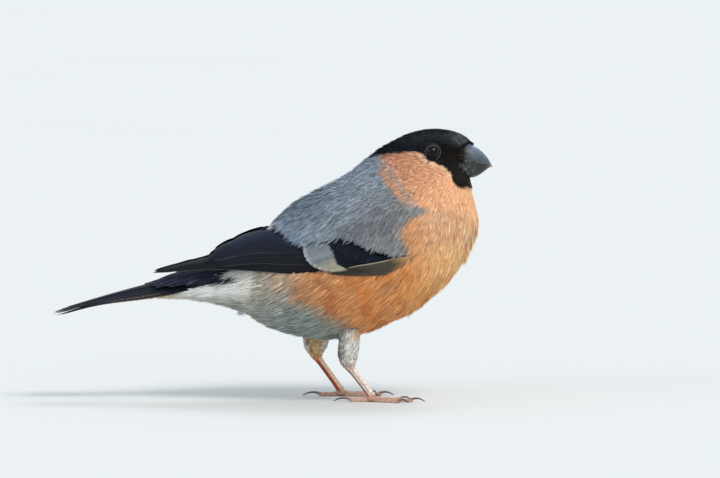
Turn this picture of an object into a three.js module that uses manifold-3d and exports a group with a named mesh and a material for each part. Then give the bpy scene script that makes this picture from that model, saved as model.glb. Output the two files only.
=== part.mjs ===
// Male Eurasian bullfinch standing on level ground, life size, as a still model.
// Millimetres. +X is the way the bird faces, +Y its left side, +Z up, the ground at Z = 0.
// Every solid is grown from the stations below: the plumage outline seen from the side (back and belly rails),
// its half-widths seen from above, and small tables for bill, wings, tail, legs and toes.
import * as THREE from 'three';
import { mergeVertices } from 'three/addons/utils/BufferGeometryUtils.js';
import Module from 'manifold-3d';

const wasm = await Module();
wasm.setup();

// ---------------------------------------------------------------- driving dimensions
const GAP = 0.3;              // parting between neighbouring solids
const BODY_RINGS = 34;        // rings along the body
const BODY_SIDES = 20;        // points round each body ring

// Plumage stations from under the tail to the brow: back x,z | belly x,z | half-width | widest line, as a
// fraction from back to belly | how far the flanks of the ring lag behind its top and bottom | fullness of the
// upper half, squarer as it falls below 1.
const BODY = [
  [-36.6, 34.5, -37.6, 33.4, 2.0, 0.50, 0.0, 0.90],   // tip of the white undertail wedge
  [-31.0, 36.4, -32.0, 32.8, 4.8, 0.50, 0.0, 0.90],
  [-24.0, 39.4, -24.2, 32.0, 7.6, 0.50, 0.0, 0.90],
  [-16.6, 43.0, -16.7, 30.6, 10.6, 0.50, 0.0, 0.88],  // rump
  [-10.8, 47.0, -9.8, 28.6, 13.5, 0.50, 0.0, 0.86],
  [-5.0, 51.8, -3.6, 25.0, 16.5, 0.50, 0.0, 0.84],    // vent
  [0.4, 58.6, 3.9, 22.2, 19.0, 0.50, 0.0, 0.82],
  [7.2, 64.7, 14.7, 20.1, 21.2, 0.50, 0.0, 0.82],     // lower back to belly
  [15.4, 69.3, 25.2, 20.9, 22.3, 0.50, 0.0, 0.82],
  [22.9, 73.1, 36.6, 24.3, 22.6, 0.50, 0.0, 0.82],    // mantle to lower breast
  [28.4, 77.5, 48.2, 30.2, 22.0, 0.50, 0.0, 0.82],
  [32.0, 80.3, 58.9, 39.8, 20.2, 0.50, 0.0, 0.80],    // nape to breast
  [36.6, 83.0, 65.2, 50.8, 17.6, 0.50, 0.0, 0.76],
  [41.5, 85.5, 67.0, 57.3, 15.1, 0.52, 0.4, 0.70],
  [46.1, 87.3, 66.2, 62.8, 13.1, 0.54, 1.6, 0.64],
  [50.7, 88.2, 65.2, 66.8, 11.6, 0.54, 3.2, 0.60],    // crown to throat
  [55.2, 88.2, 64.7, 69.4, 10.3, 0.52, 4.3, 0.60],
  [59.8, 87.3, 64.5, 71.4, 9.1, 0.50, 5.0, 0.62],
  [63.0, 85.8, 64.0, 72.8, 7.3, 0.50, 5.0, 0.66],
  [65.0, 84.2, 62.9, 73.8, 5.8, 0.50, 3.9, 0.80],     // feather line round the bill
];
const FULL_BELLY = 0.92;              // the same for the lower half of every section
// Planes that part the body: a point x,z on each and its normal's angle above +X, in degrees.
const NECK_CUT = { x: 38.0, z: 61.2, angle: 73 };
const HEAD_CUT = { x: 48.0, z: 72.4, angle: 65 };

const EYE = { x: 51.8, z: 81.1, y: 8.9, r: 2.9 };          // eyeball centre and radius
const BILL_RINGS = 8;
// Bill stations from inside the feathers to the tip: x | culmen z | cutting edge z | keel z | half-width at the edge
const BILL = [
  [59.6, 84.6, 77.6, 73.3, 5.0],
  [61.9, 84.5, 77.7, 72.7, 5.0],
  [64.2, 83.8, 77.6, 72.4, 4.75],
  [66.9, 82.3, 77.45, 73.1, 4.0],
  [69.1, 80.3, 76.8, 74.6, 2.7],
  [70.6, 78.2, 76.2, 75.7, 1.35],
  [71.3, 76.9, 75.95, 75.9, 0.75],
];
const BILL_TIP = [71.62, 75.9];       // hooked tip of the upper half
const LOWER_LENGTH = 70.6;            // x where the lower half ends
const LOWER_INSET = 0.25;             // the lower half tucks inside the upper by this much

// Folded right wing, from the bend of the wing to the primary tips: x | top edge y,z | lower edge y,z | outward
// bulge | half-thickness. y is the distance from the mid-plane.
const WING = [
  [42.8, 20.0, 45.6, 19.7, 44.6, 0.0, 0.8],
  [39.0, 21.4, 47.9, 20.4, 43.3, 0.3, 1.3],
  [34.0, 21.9, 50.0, 20.9, 42.5, 0.4, 1.6],
  [24.2, 21.7, 52.7, 21.5, 42.3, 0.6, 1.8],
  [12.1, 19.8, 53.8, 20.9, 42.2, 1.2, 1.7],
  [5.6, 15.2, 55.6, 20.2, 42.2, 2.9, 1.6],
  [-0.9, 5.2, 56.9, 19.0, 42.3, 4.6, 1.5],
  [-7.0, 3.9, 54.9, 17.2, 42.7, 4.0, 1.3],
  [-13.0, 3.7, 52.2, 15.0, 43.3, 3.0, 1.1],
  [-18.0, 3.9, 49.6, 12.7, 43.7, 2.1, 0.8],
  [-21.0, 4.6, 46.9, 11.5, 43.5, 1.4, 0.6],
];
const WING_SPAN = 8;                  // points across the wing
const QUILL = 0.42;                   // half-thickness of a flight feather
// Primaries that reach past the tertials: x of tip | top y,z | low y,z at the tip | layer, counted inwards
const PRIMARY_ROOT_X = -12.0;
const PRIMARIES = [
  [-39.2, 5.2, 41.9, 5.8, 41.4, 0],
  [-36.2, 5.3, 42.8, 6.4, 41.7, 1],
  [-33.0, 5.2, 43.6, 7.0, 42.0, 2],
  [-29.0, 5.0, 44.7, 7.8, 42.3, 3],
  [-25.0, 4.8, 45.6, 8.8, 42.7, 4],
];

// Tail: x,z of its root and tip on the mid-line, half-widths, and the fall of the outer feathers.
const TAIL = {
  rootX: -12.0, rootZ: 44.0, tipX: -71.6, tipZ: 28.9, arch: 1.0,
  rootHalf: 4.6, tipHalf: 7.6, fallRoot: 3.2, fallTip: 0.1,
  feathers: 12, featherHalf: 3.1, thick: 0.3, layer: 0.22, notch: 4.6,
};
// Black uppertail coverts that clothe the tail's root: x | top z | under z | half-width
const COVERTS = [
  [-9.6, 46.2, 39.4, 8.4],
  [-15.0, 45.2, 38.8, 8.8],
  [-21.0, 43.9, 38.0, 8.2],
  [-27.0, 42.4, 37.0, 7.4],
  [-33.0, 40.9, 36.2, 6.4],
  [-39.0, 38.7, 35.4, 5.4],
];

// Legs. Right is forward, left is back. Ankle and toe joint: x, y, z.
const LEGS = {
  right: { side: -1, hip: [24.9, 9.6, 25.0], ankle: [25.0, 10.6, 11.3], joint: [32.5, 11.8, 1.7], heading: 4 },
  left: { side: 1, hip: [13.8, 9.6, 25.0], ankle: [14.2, 10.6, 13.2], joint: [22.4, 11.8, 1.7], heading: 3 },
};
const THIGH = { top: [3.8, 3.4], middle: [3.6, 3.1], ankle: [1.8, 1.6] };   // half-widths along X and Y
const TARSUS = { front: 1.12, side: 0.82 };
// Toes: length without the claw | angle outwards from the heading | claw length
const TOES = [
  { name: 'inner', length: 10.4, angle: -27, claw: 3.9 },
  { name: 'middle', length: 13.2, angle: 2, claw: 4.6 },
  { name: 'outer', length: 10.8, angle: 30, claw: 3.9 },
  { name: 'hind', length: 7.8, angle: 176, claw: 5.6 },
];
const TOE = { root: 0.95, tip: 0.72, axis: 0.68, claw: 0.5 };

// ---------------------------------------------------------------- small helpers
const rad = (deg) => (deg * Math.PI) / 180;
const lerp = (a, b, u) => a + (b - a) * u;

// A smooth curve through rows of numbers at the given knots.
function rowCurve(rows, knots) {
  const last = rows.length - 1;
  const slopes = rows.map((row, i) => row.map((_, c) => {
    const step = (j) => (rows[j + 1][c] - rows[j][c]) / (knots[j + 1] - knots[j]);
    if (i === 0) return step(0);
    if (i === last) return step(last - 1);
    const h0 = knots[i] - knots[i - 1];
    const h1 = knots[i + 1] - knots[i];
    return (step(i - 1) * h1 + step(i) * h0) / (h0 + h1);
  }));
  return (t) => {
    let i = 0;
    while (i < last - 1 && t > knots[i + 1]) i += 1;
    const h = knots[i + 1] - knots[i];
    const u = (t - knots[i]) / h;
    const [u2, u3] = [u * u, u * u * u];
    return rows[i].map((v, c) => (2 * u3 - 3 * u2 + 1) * v + (u3 - 2 * u2 + u) * h * slopes[i][c]
      + (-2 * u3 + 3 * u2) * rows[i + 1][c] + (u3 - u2) * h * slopes[i + 1][c]);
  };
}
const evenly = (n) => Array.from({ length: n }, (_, i) => i / (n - 1));
function chordKnots(rows, pairs) {
  const knots = [0];
  for (let i = 1; i < rows.length; i += 1) {
    const steps = pairs.map(([a, b]) => Math.hypot(rows[i][a] - rows[i - 1][a], rows[i][b] - rows[i - 1][b]));
    knots.push(knots[i - 1] + steps.reduce((p, q) => p + q) / steps.length);
  }
  return knots.map((k) => k / knots[knots.length - 1]);
}

// A closed skin over rings of points, with a fan over each end.
function loft(rings) {
  const n = rings[0].length;
  const pos = rings.flat(2);
  const index = [];
  const centre = (ring) => [0, 1, 2].map((c) => ring.reduce((sum, p) => sum + p[c], 0) / n);
  const start = rings.length * n;
  pos.push(...centre(rings[0]), ...centre(rings[rings.length - 1]));
  for (let r = 0; r < rings.length - 1; r += 1) {
    for (let i = 0; i < n; i += 1) {
      const a = r * n + i;
      const b = r * n + ((i + 1) % n);
      index.push(a, b, b + n, a, b + n, a + n);
    }
  }
  for (let i = 0; i < n; i += 1) {
    const j = (i + 1) % n;
    index.push(start, j, i);
    index.push(start + 1, (rings.length - 1) * n + i, (rings.length - 1) * n + j);
  }
  const geometry = new THREE.BufferGeometry();
  geometry.setAttribute('position', new THREE.Float32BufferAttribute(pos, 3));
  geometry.setIndex(index);
  return geometry;
}
function signedVolume(pos, index) {
  let sum = 0;
  for (let i = 0; i < index.length; i += 3) {
    const [a, b, c] = [index[i] * 3, index[i + 1] * 3, index[i + 2] * 3];
    sum += pos[a] * (pos[b + 1] * pos[c + 2] - pos[b + 2] * pos[c + 1])
      + pos[a + 1] * (pos[b + 2] * pos[c] - pos[b] * pos[c + 2])
      + pos[a + 2] * (pos[b] * pos[c + 1] - pos[b + 1] * pos[c]);
  }
  return sum / 6;
}
function solid(geometry) {
  const bare = geometry.index ? geometry.clone() : geometry.clone();
  bare.deleteAttribute('normal');
  bare.deleteAttribute('uv');
  const merged = mergeVertices(bare, 1e-4);
  const pos = new Float32Array(merged.attributes.position.array);
  const kept = [];
  const raw = merged.index.array;
  for (let i = 0; i < raw.length; i += 3) {
    const [a, b, c] = [raw[i], raw[i + 1], raw[i + 2]];
    if (a !== b && b !== c && c !== a) kept.push(a, b, c);
  }
  if (signedVolume(pos, kept) < 0) for (let i = 0; i < kept.length; i += 3) [kept[i], kept[i + 1]] = [kept[i + 1], kept[i]];
  return new wasm.Manifold(new wasm.Mesh({ numProp: 3, vertProperties: pos, triVerts: new Uint32Array(kept) }));
}
const join = (list) => list.reduce((a, b) => a.add(b));
const mirrorRings = (rings) => rings.map((ring) => ring.map(([x, y, z]) => [x, -y, z]));

// A large block whose face lies on a plane across the body, filling the side its normal points to.
function halfSpace(cut, shift) {
  const size = 300;
  const block = new THREE.BoxGeometry(size, size, size);
  const angle = rad(cut.angle);
  const m = new THREE.Matrix4().makeRotationY(-angle);
  m.setPosition(cut.x + Math.cos(angle) * (size / 2 + shift), 0, cut.z + Math.sin(angle) * (size / 2 + shift));
  block.applyMatrix4(m);
  return solid(block);
}

// ---------------------------------------------------------------- body
const bodyKnots = chordKnots(BODY, [[0, 1], [2, 3]]);
const bodyAt = rowCurve(BODY, bodyKnots);
function bodyRing(t, grow) {
  const [dx, dz, vx, vz, w, b, lag, full] = bodyAt(t);
  const long = Math.hypot(vx - dx, vz - dz);
  const [ex, ez] = [(vx - dx) / long, (vz - dz) / long];
  const [nx, nz] = [ez, -ex];                                   // across the ring, towards the tail
  const ring = [];
  for (let i = 0; i < BODY_SIDES; i += 1) {
    const a = (2 * Math.PI * i) / BODY_SIDES;
    const c = Math.cos(a);
    const s = c > 0 ? b * (1 - c) : b - (1 - b) * c;
    const along = s * (long + 2 * grow) - grow;
    const back = lag * Math.sin(a) ** 2;
    const side = Math.sign(Math.sin(a)) * Math.abs(Math.sin(a)) ** (c > 0 ? full : FULL_BELLY);
    ring.push([dx + ex * along + nx * back, (w + grow) * side, dz + ez * along + nz * back]);
  }
  return ring;
}
function bodySolid(grow) {
  const ts = evenly(BODY_RINGS).map((u) => u ** 0.97);
  const rings = ts.map((t) => bodyRing(Math.min(1, t), grow));
  return solid(loft(rings));
}

// ---------------------------------------------------------------- bill
const billAt = rowCurve(BILL, BILL.map((r) => r[0]));
function billHalf(upper, grow) {
  const rings = [];
  const end = upper ? BILL[BILL.length - 1][0] : LOWER_LENGTH;
  const first = BILL[0][0] - grow;
  for (let i = 0; i < BILL_RINGS; i += 1) {
    const x = lerp(first, end, Math.sin((i / (BILL_RINGS - 1)) * Math.PI * 0.5));
    const [, top, edge, keel, half] = billAt(Math.min(Math.max(x, BILL[0][0]), end));
    const flat = edge + (upper ? 1 : -1) * (GAP / 2 - grow);
    const far = upper ? top + grow : Math.min(keel - grow, flat - 0.5);
    const w = Math.max(half - (upper ? 0 : LOWER_INSET), 0.35) + grow;
    const ring = [];
    const n = 12;
    for (let k = 0; k <= n; k += 1) {                           // from one cutting edge over the ridge to the other
      const a = (Math.PI * k) / n;
      const rise = Math.sin(a) ** (upper ? 0.95 : 0.8);
      ring.push([x, w * Math.cos(a) * (upper ? 1 - 0.12 * rise : 1), lerp(flat, far, rise)]);
    }
    rings.push(ring);
  }
  if (upper) {
    const [tx, tz] = BILL_TIP;
    rings.push(rings[rings.length - 1].map(([, y, z]) => [tx, y * 0.35, tz + (z - tz) * 0.3]));
  }
  return solid(loft(rings));
}

// ---------------------------------------------------------------- wings
const wingAt = rowCurve(WING, chordKnots(WING, [[0, 4]]));
// The wing's middle surface: u runs from the bend to the tip, v from the top edge to the lower edge.
function wingPoint(row, v, off) {
  const [x, ty, tz, ly, lz, bulge] = row;
  const long = Math.hypot(ly - ty, lz - tz) || 1;
  const [ny, nz] = [(tz - lz) / long, (ly - ty) / long];
  const out = bulge * 4 * v * (1 - v) + off;
  return [x, -(lerp(ty, ly, v) + ny * out), lerp(tz, lz, v) + nz * out];
}
function wingShell(grow) {
  const rings = [];
  const steps = 13;
  for (let i = 0; i < steps; i += 1) {
    const row = wingAt(i / (steps - 1));
    const [x, ty, tz, ly, lz, bulge, half] = row;
    const long = Math.hypot(ly - ty, lz - tz);
    const pad = grow / long;
    const shift = i === 0 ? grow : i === steps - 1 ? -grow : 0;
    const moved = [x + shift, ty, tz, ly, lz, bulge];
    const outer = [];
    const inner = [];
    for (let k = 0; k < WING_SPAN; k += 1) {
      const v = lerp(-pad, 1 + pad, k / (WING_SPAN - 1));
      const rim = Math.sqrt(Math.max(0.12, 1 - (2 * (k / (WING_SPAN - 1)) - 1) ** 6));
      const h = half * rim + grow;
      outer.push(wingPoint(moved, v, h));
      inner.push(wingPoint(moved, v, -h));
    }
    rings.push([...outer, ...inner.reverse()]);
  }
  return solid(loft(rings));
}
// One flight feather as a tapered blade in the wing's surface.
function blade(path, grow) {
  const rings = path.map(({ x, ty, tz, ly, lz, off }) => {
    const long = Math.hypot(ly - ty, lz - tz) || 1;
    const [ny, nz] = [(tz - lz) / long, (ly - ty) / long];
    const [ay, az] = [(ly - ty) / long, (lz - tz) / long];
    const ring = [];
    for (const [a, b] of [[0, 1], [1, 1], [1, -1], [0, -1]]) {
      const y = lerp(ty, ly, a) + (a - 0.5) * 2 * grow * ay + ny * (b * (QUILL + grow) - off);
      const z = lerp(tz, lz, a) + (a - 0.5) * 2 * grow * az + nz * (b * (QUILL + grow) - off);
      ring.push([x, -y, z]);
    }
    return ring;
  });
  return solid(loft(rings));
}
function primary(tip, grow) {
  const [tipX, ty, tz, ly, lz, layer] = tip;
  const path = [];
  const steps = 5;
  for (let i = 0; i < steps; i += 1) {
    const u = i / (steps - 1);
    const x = lerp(PRIMARY_ROOT_X, tipX, u) + (i === 0 ? grow : i === steps - 1 ? -grow : 0);
    const root = wingAt(Math.min(1, 0.86 + 0.14 * u));
    const close = u ** 0.9;
    // the blade leaves the wing in its lower half and narrows to a rounded tip
    const width = 1 - 0.72 * Math.max(0, (u - 0.8) / 0.2) ** 2;
    const top = [lerp(lerp(root[1], root[3], 0.35 - 0.06 * layer), ty, close), lerp(lerp(root[2], root[4], 0.35 - 0.06 * layer), tz, close)];
    const low = [lerp(root[3], ly, close), lerp(root[4], lz, close)];
    const mid = [(top[0] + low[0]) / 2, (top[1] + low[1]) / 2];
    path.push({
      x,
      ty: lerp(mid[0], top[0], width), tz: lerp(mid[1], top[1], width),
      ly: lerp(mid[0], low[0], width), lz: lerp(mid[1], low[1], width),
      off: 0.1 + 0.1 * layer,
    });
  }
  return blade(path, grow);
}
function wingSolid(grow) {
  return join([wingShell(grow), ...PRIMARIES.map((p) => primary(p, grow))]);
}
const flipped = (m) => m.mirror([0, 1, 0]);

// ---------------------------------------------------------------- tail
function tailPoint(u, y, off) {
  const x = lerp(TAIL.rootX, TAIL.tipX, u);
  const z = lerp(TAIL.rootZ, TAIL.tipZ, u) + TAIL.arch * Math.sin(Math.PI * u);
  const half = lerp(TAIL.rootHalf, TAIL.tipHalf, u);
  const v = Math.min(1, Math.max(0, (u - 0.35) / 0.6));
  return [x, y, z - lerp(TAIL.fallRoot, TAIL.fallTip, v * v * (3 - 2 * v)) * (y / half) ** 2 + off];
}
function rectrix(i, grow) {
  const n = TAIL.feathers;
  const side = i < n / 2 ? -1 : 1;
  const rank = i < n / 2 ? n / 2 - 1 - i : i - n / 2;           // 0 for the middle pair, 5 for the outermost
  const spread = (rank + 0.5) / (n / 2);
  const length = 1 - (TAIL.notch / 60) * Math.max(0, 1 - rank / 2.6) ** 1.3 - (rank === 5 ? 0.02 : 0);
  const rings = [];
  const steps = 5;
  for (let k = 0; k < steps; k += 1) {
    const w = Math.sin((k / (steps - 1)) * Math.PI * 0.5);
    const u = lerp(0, length, w) + (k === 0 ? -grow / 60 : k === steps - 1 ? grow / 60 : 0);
    const half = lerp(TAIL.rootHalf, TAIL.tipHalf, u);
    const middle = side * (spread * half - 0.4);
    const tip = Math.max(0, (w - 0.86) / 0.14);
    const wide = Math.min(TAIL.featherHalf, half * 0.42) * (1 - 0.55 * tip ** 2);
    const ring = [];
    for (const [a, b] of [[-1, 1], [1, 1], [1, -1], [-1, -1]]) {
      const y = middle + a * (wide + grow);
      ring.push(tailPoint(u, y, b * (TAIL.thick + grow) - rank * TAIL.layer));
    }
    rings.push(ring);
  }
  return solid(loft(rings));
}
function covertWedge(grow) {
  const at = rowCurve(COVERTS, COVERTS.map((r) => -r[0]));
  const rings = [];
  const steps = 6;
  const sides = 12;
  for (let i = 0; i < steps; i += 1) {
    const x = lerp(COVERTS[0][0], COVERTS[COVERTS.length - 1][0], i / (steps - 1));
    const [, top, under, half] = at(-x);
    const ring = [];
    for (let k = 0; k < sides; k += 1) {
      const a = (2 * Math.PI * k) / sides;
      const up = Math.cos(a);
      const y = (half + grow) * Math.sin(a);
      const z = lerp(under, top, 0.5) + ((top - under) / 2 + grow) * Math.sign(up) * Math.abs(up) ** 0.8 - 1.2 * (y / half) ** 2;
      ring.push([x + (i === 0 ? grow : i === steps - 1 ? -grow : 0), y, z]);
    }
    rings.push(ring);
  }
  return solid(loft(rings));
}
function tailSolid(grow) {
  const feathers = Array.from({ length: TAIL.feathers }, (_, i) => rectrix(i, grow));
  return join([covertWedge(grow), ...feathers]);
}

// ---------------------------------------------------------------- legs
function limb(points, sizes, sides, grow) {
  // Round rings square to the path; sizes are half-widths fore-and-aft and across.
  const rings = points.map((p, i) => {
    const a = points[Math.max(0, i - 1)];
    const b = points[Math.min(points.length - 1, i + 1)];
    const along = new THREE.Vector3(b[0] - a[0], b[1] - a[1], b[2] - a[2]).normalize();
    const across = new THREE.Vector3(0, 1, 0).addScaledVector(along, -along.y).normalize();
    const fore = new THREE.Vector3().crossVectors(across, along);
    const shift = i === 0 ? -grow : i === points.length - 1 ? grow : 0;
    return Array.from({ length: sides }, (_, k) => {
      const t = (2 * Math.PI * k) / sides;
      const f = Math.cos(t) * (sizes[i][0] + grow);
      const s = Math.sin(t) * (sizes[i][1] + grow);
      return [0, 1, 2].map((c) => p[c] + fore.getComponent(c) * f + across.getComponent(c) * s + along.getComponent(c) * shift);
    });
  });
  return solid(loft(rings));
}
const sided = (leg, [x, y, z]) => [x, leg.side * y, z];
function thigh(leg, grow) {
  const points = [];
  const sizes = [];
  const steps = 9;
  const [hip, ankle] = [sided(leg, leg.hip), sided(leg, leg.ankle)];
  for (let i = 0; i < steps; i += 1) {
    const u = i / (steps - 1);
    points.push([0, 1, 2].map((c) => lerp(hip[c], ankle[c], u)));
    const late = Math.max(0, (u - 0.45) / 0.55);
    sizes.push([0, 1].map((c) => lerp(lerp(THIGH.top[c], THIGH.middle[c], Math.min(1, u / 0.45)), THIGH.ankle[c], late ** 1.7)));
  }
  return limb(points, sizes, 14, grow);
}
function tarsus(leg, grow) {
  const points = [];
  const sizes = [];
  const steps = 7;
  const [ankle, joint] = [sided(leg, leg.ankle), sided(leg, leg.joint)];
  for (let i = 0; i < steps; i += 1) {
    const u = lerp(-0.06, 1, i / (steps - 1));
    points.push([0, 1, 2].map((c) => lerp(ankle[c], joint[c], u)));
    const swell = 1 + 0.22 * Math.exp(-((u / 0.14) ** 2)) + 0.12 * Math.exp(-(((u - 1) / 0.16) ** 2));
    sizes.push([TARSUS.front * swell, TARSUS.side * swell]);
  }
  return limb(points, sizes, 10, grow);
}
function foot(leg) {
  const [jx, jy] = sided(leg, leg.joint);
  const pieces = [];
  for (const toe of TOES) {
    const angle = rad(-leg.side * leg.heading * -1 + leg.side * toe.angle);
    const dir = [Math.cos(angle), Math.sin(angle)];
    const points = [];
    const sizes = [];
    const steps = 5;
    for (let i = 0; i < steps; i += 1) {
      const u = i / (steps - 1);
      const d = toe.length * u;
      // the toe comes down from the joint, then lies along the ground with a small pad at each knuckle
      const lift = 0.75 * (1 - Math.min(1, u / 0.3)) ** 2;
      const pad = 0.07 * Math.cos(2 * Math.PI * 3 * u);
      const r = lerp(TOE.root, TOE.tip, u) - pad;
      points.push([jx + dir[0] * d, jy + dir[1] * d, TOE.axis + lift + 0.1 * pad]);
      sizes.push([r * 0.95, r]);
    }
    pieces.push(toeLoft(points, sizes, 6));
    const claw = [];
    const clawSizes = [];
    for (let i = 0; i < 4; i += 1) {
      const u = i / 3;
      const d = toe.length - 0.5 + toe.claw * u;
      claw.push([jx + dir[0] * d, jy + dir[1] * d, 0.95 + 0.75 * Math.sin(Math.PI * Math.min(1, u * 1.05) * 0.75) - 1.25 * u ** 2]);
      const r = lerp(TOE.claw, 0.16, u ** 0.9);
      clawSizes.push([r, r * 0.8]);
    }
    pieces.push(toeLoft(claw, clawSizes, 4));
  }
  const palm = new THREE.SphereGeometry(1, 8, 6);
  palm.applyMatrix4(new THREE.Matrix4().makeScale(1.9, 1.7, 1.05));
  palm.applyMatrix4(new THREE.Matrix4().makeTranslation(jx, jy, 1.0));
  pieces.push(solid(palm));
  const ground = new THREE.BoxGeometry(200, 200, 20);
  ground.applyMatrix4(new THREE.Matrix4().makeTranslation(0, 0, -10));
  return join(pieces).subtract(solid(ground));
}
function toeLoft(points, sizes, sides) {
  const rings = points.map((p, i) => {
    const a = points[Math.max(0, i - 1)];
    const b = points[Math.min(points.length - 1, i + 1)];
    const along = new THREE.Vector3(b[0] - a[0], b[1] - a[1], b[2] - a[2]).normalize();
    const across = new THREE.Vector3(0, 0, 1).cross(along).normalize();
    const up = new THREE.Vector3().crossVectors(along, across);
    return Array.from({ length: sides }, (_, k) => {
      const t = (2 * Math.PI * (k + 0.5)) / sides;
      const f = Math.cos(t) * sizes[i][1];
      const s = Math.sin(t) * sizes[i][0];
      return [0, 1, 2].map((c) => p[c] + across.getComponent(c) * f + up.getComponent(c) * s);
    });
  });
  return solid(loft(rings));
}

// ---------------------------------------------------------------- the bird
function eyeball(side, grow) {
  const ball = new THREE.SphereGeometry(EYE.r + grow, 12, 8);
  ball.applyMatrix4(new THREE.Matrix4().makeTranslation(EYE.x, side * EYE.y, EYE.z));
  return solid(ball);
}

const whole = bodySolid(0);
const grown = bodySolid(GAP);
const rightWing = wingSolid(0);
const leftWing = flipped(rightWing);
const wingRoom = wingSolid(GAP);
const tail = tailSolid(0);
const tailRoom = tailSolid(GAP);
const billRoom = join([billHalf(true, GAP), billHalf(false, GAP)]);
const headSide = halfSpace(HEAD_CUT, 0);
const belowHead = halfSpace(HEAD_CUT, -GAP);
const neckSide = halfSpace(NECK_CUT, 0);
const belowNeck = halfSpace(NECK_CUT, -GAP);

const head = whole.intersect(headSide).subtract(billRoom).subtract(eyeball(1, GAP)).subtract(eyeball(-1, GAP));
const neck = whole.intersect(neckSide).subtract(belowHead);
const trunk = whole.subtract(belowNeck).subtract(wingRoom).subtract(flipped(wingRoom)).subtract(tailRoom);

function largest(m) {
  const parts = m.decompose();
  return parts.reduce((a, b) => (b.volume() > a.volume() ? b : a));
}
function toMesh(name, manifold, look) {
  const mesh = largest(manifold).getMesh();
  const geometry = new THREE.BufferGeometry();
  const stride = mesh.numProp;
  const pos = new Float32Array((mesh.vertProperties.length / stride) * 3);
  for (let i = 0; i < pos.length / 3; i += 1) for (let c = 0; c < 3; c += 1) pos[i * 3 + c] = mesh.vertProperties[i * stride + c];
  geometry.setAttribute('position', new THREE.BufferAttribute(pos, 3));
  geometry.setIndex(new THREE.BufferAttribute(new Uint32Array(mesh.triVerts), 1));
  geometry.computeVertexNormals();
  const out = new THREE.Mesh(geometry, look);
  out.name = name;
  return out;
}
const look = (colour, roughness) => new THREE.MeshStandardMaterial({ color: colour, roughness, metalness: 0 });
const LOOKS = {
  cap: look(0x1c1d1f, 0.6), cheek: look(0xd99f78, 0.85), body: look(0xc98a5e, 0.85), quill: look(0x1d1f26, 0.45),
  horn: look(0x4a5054, 0.3), eye: look(0x0a0808, 0.08), thigh: look(0xb3aa9a, 0.9), shank: look(0xb58a6a, 0.6),
};

const bird = new THREE.Group();
bird.add(toMesh('trunk', trunk, LOOKS.body));
bird.add(toMesh('neck', neck, LOOKS.cheek));
bird.add(toMesh('head', head, LOOKS.cap));
bird.add(toMesh('bill_upper', billHalf(true, 0), LOOKS.horn));
bird.add(toMesh('bill_lower', billHalf(false, 0), LOOKS.horn));
bird.add(toMesh('eye_right', eyeball(-1, 0), LOOKS.eye));
bird.add(toMesh('eye_left', eyeball(1, 0), LOOKS.eye));
bird.add(toMesh('wing_right', rightWing, LOOKS.quill));
bird.add(toMesh('wing_left', leftWing, LOOKS.quill));
bird.add(toMesh('tail', tail, LOOKS.quill));
for (const [name, leg] of Object.entries(LEGS)) {
  const footSolid = foot(leg);
  const upper = thigh(leg, 0).subtract(grown);
  const shank = tarsus(leg, 0).subtract(thigh(leg, GAP));
  const room = tarsus(leg, GAP);
  bird.add(toMesh(`thigh_${name}`, upper, LOOKS.thigh));
  bird.add(toMesh(`tarsus_${name}`, shank, LOOKS.shank));
  bird.add(toMesh(`foot_${name}`, footSolid.subtract(room), LOOKS.shank));
}

export default bird;
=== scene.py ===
import math

import bpy
import numpy as np
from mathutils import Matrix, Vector
from mathutils.kdtree import KDTree


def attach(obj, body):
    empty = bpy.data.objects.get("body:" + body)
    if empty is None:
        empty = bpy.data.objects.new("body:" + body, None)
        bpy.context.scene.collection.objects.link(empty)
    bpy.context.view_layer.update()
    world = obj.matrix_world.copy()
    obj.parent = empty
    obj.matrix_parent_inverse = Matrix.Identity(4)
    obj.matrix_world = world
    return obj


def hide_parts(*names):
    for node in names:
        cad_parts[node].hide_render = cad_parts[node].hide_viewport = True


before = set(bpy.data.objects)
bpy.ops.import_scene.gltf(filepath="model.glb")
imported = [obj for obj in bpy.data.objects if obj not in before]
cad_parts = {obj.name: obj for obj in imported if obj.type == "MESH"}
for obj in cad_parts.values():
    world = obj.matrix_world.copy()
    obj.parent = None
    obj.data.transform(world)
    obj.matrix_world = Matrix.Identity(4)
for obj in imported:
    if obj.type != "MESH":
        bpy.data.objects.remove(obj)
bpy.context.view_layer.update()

# Male Eurasian bullfinch, life size. Tables are in millimetres in the frame of the solids: +X is the way the bird
# faces, +Y its left side, +Z up, the ground at 0. Meshes are written in metres.
MM = 0.001
TAU = 2 * math.pi


def rng_for(word):
    return np.random.default_rng(sum(ord(c) * (i + 7) for i, c in enumerate(word)))


# ------------------------------------------------------------------------------------------------ small helpers
def lerp(a, b, u):
    return a + (b - a) * u


def smooth(v, lo=0.0, hi=1.0):
    v = np.clip((v - lo) / (hi - lo), 0, 1)
    return v * v * (3 - 2 * v)


def unit(v):
    return v / np.maximum(np.linalg.norm(v, axis=-1, keepdims=True), 1e-9)


def linear(rgb):
    c = np.asarray(rgb, float) / 255
    return np.where(c <= 0.04045, c / 12.92, ((c + 0.055) / 1.055) ** 2.4)


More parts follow.
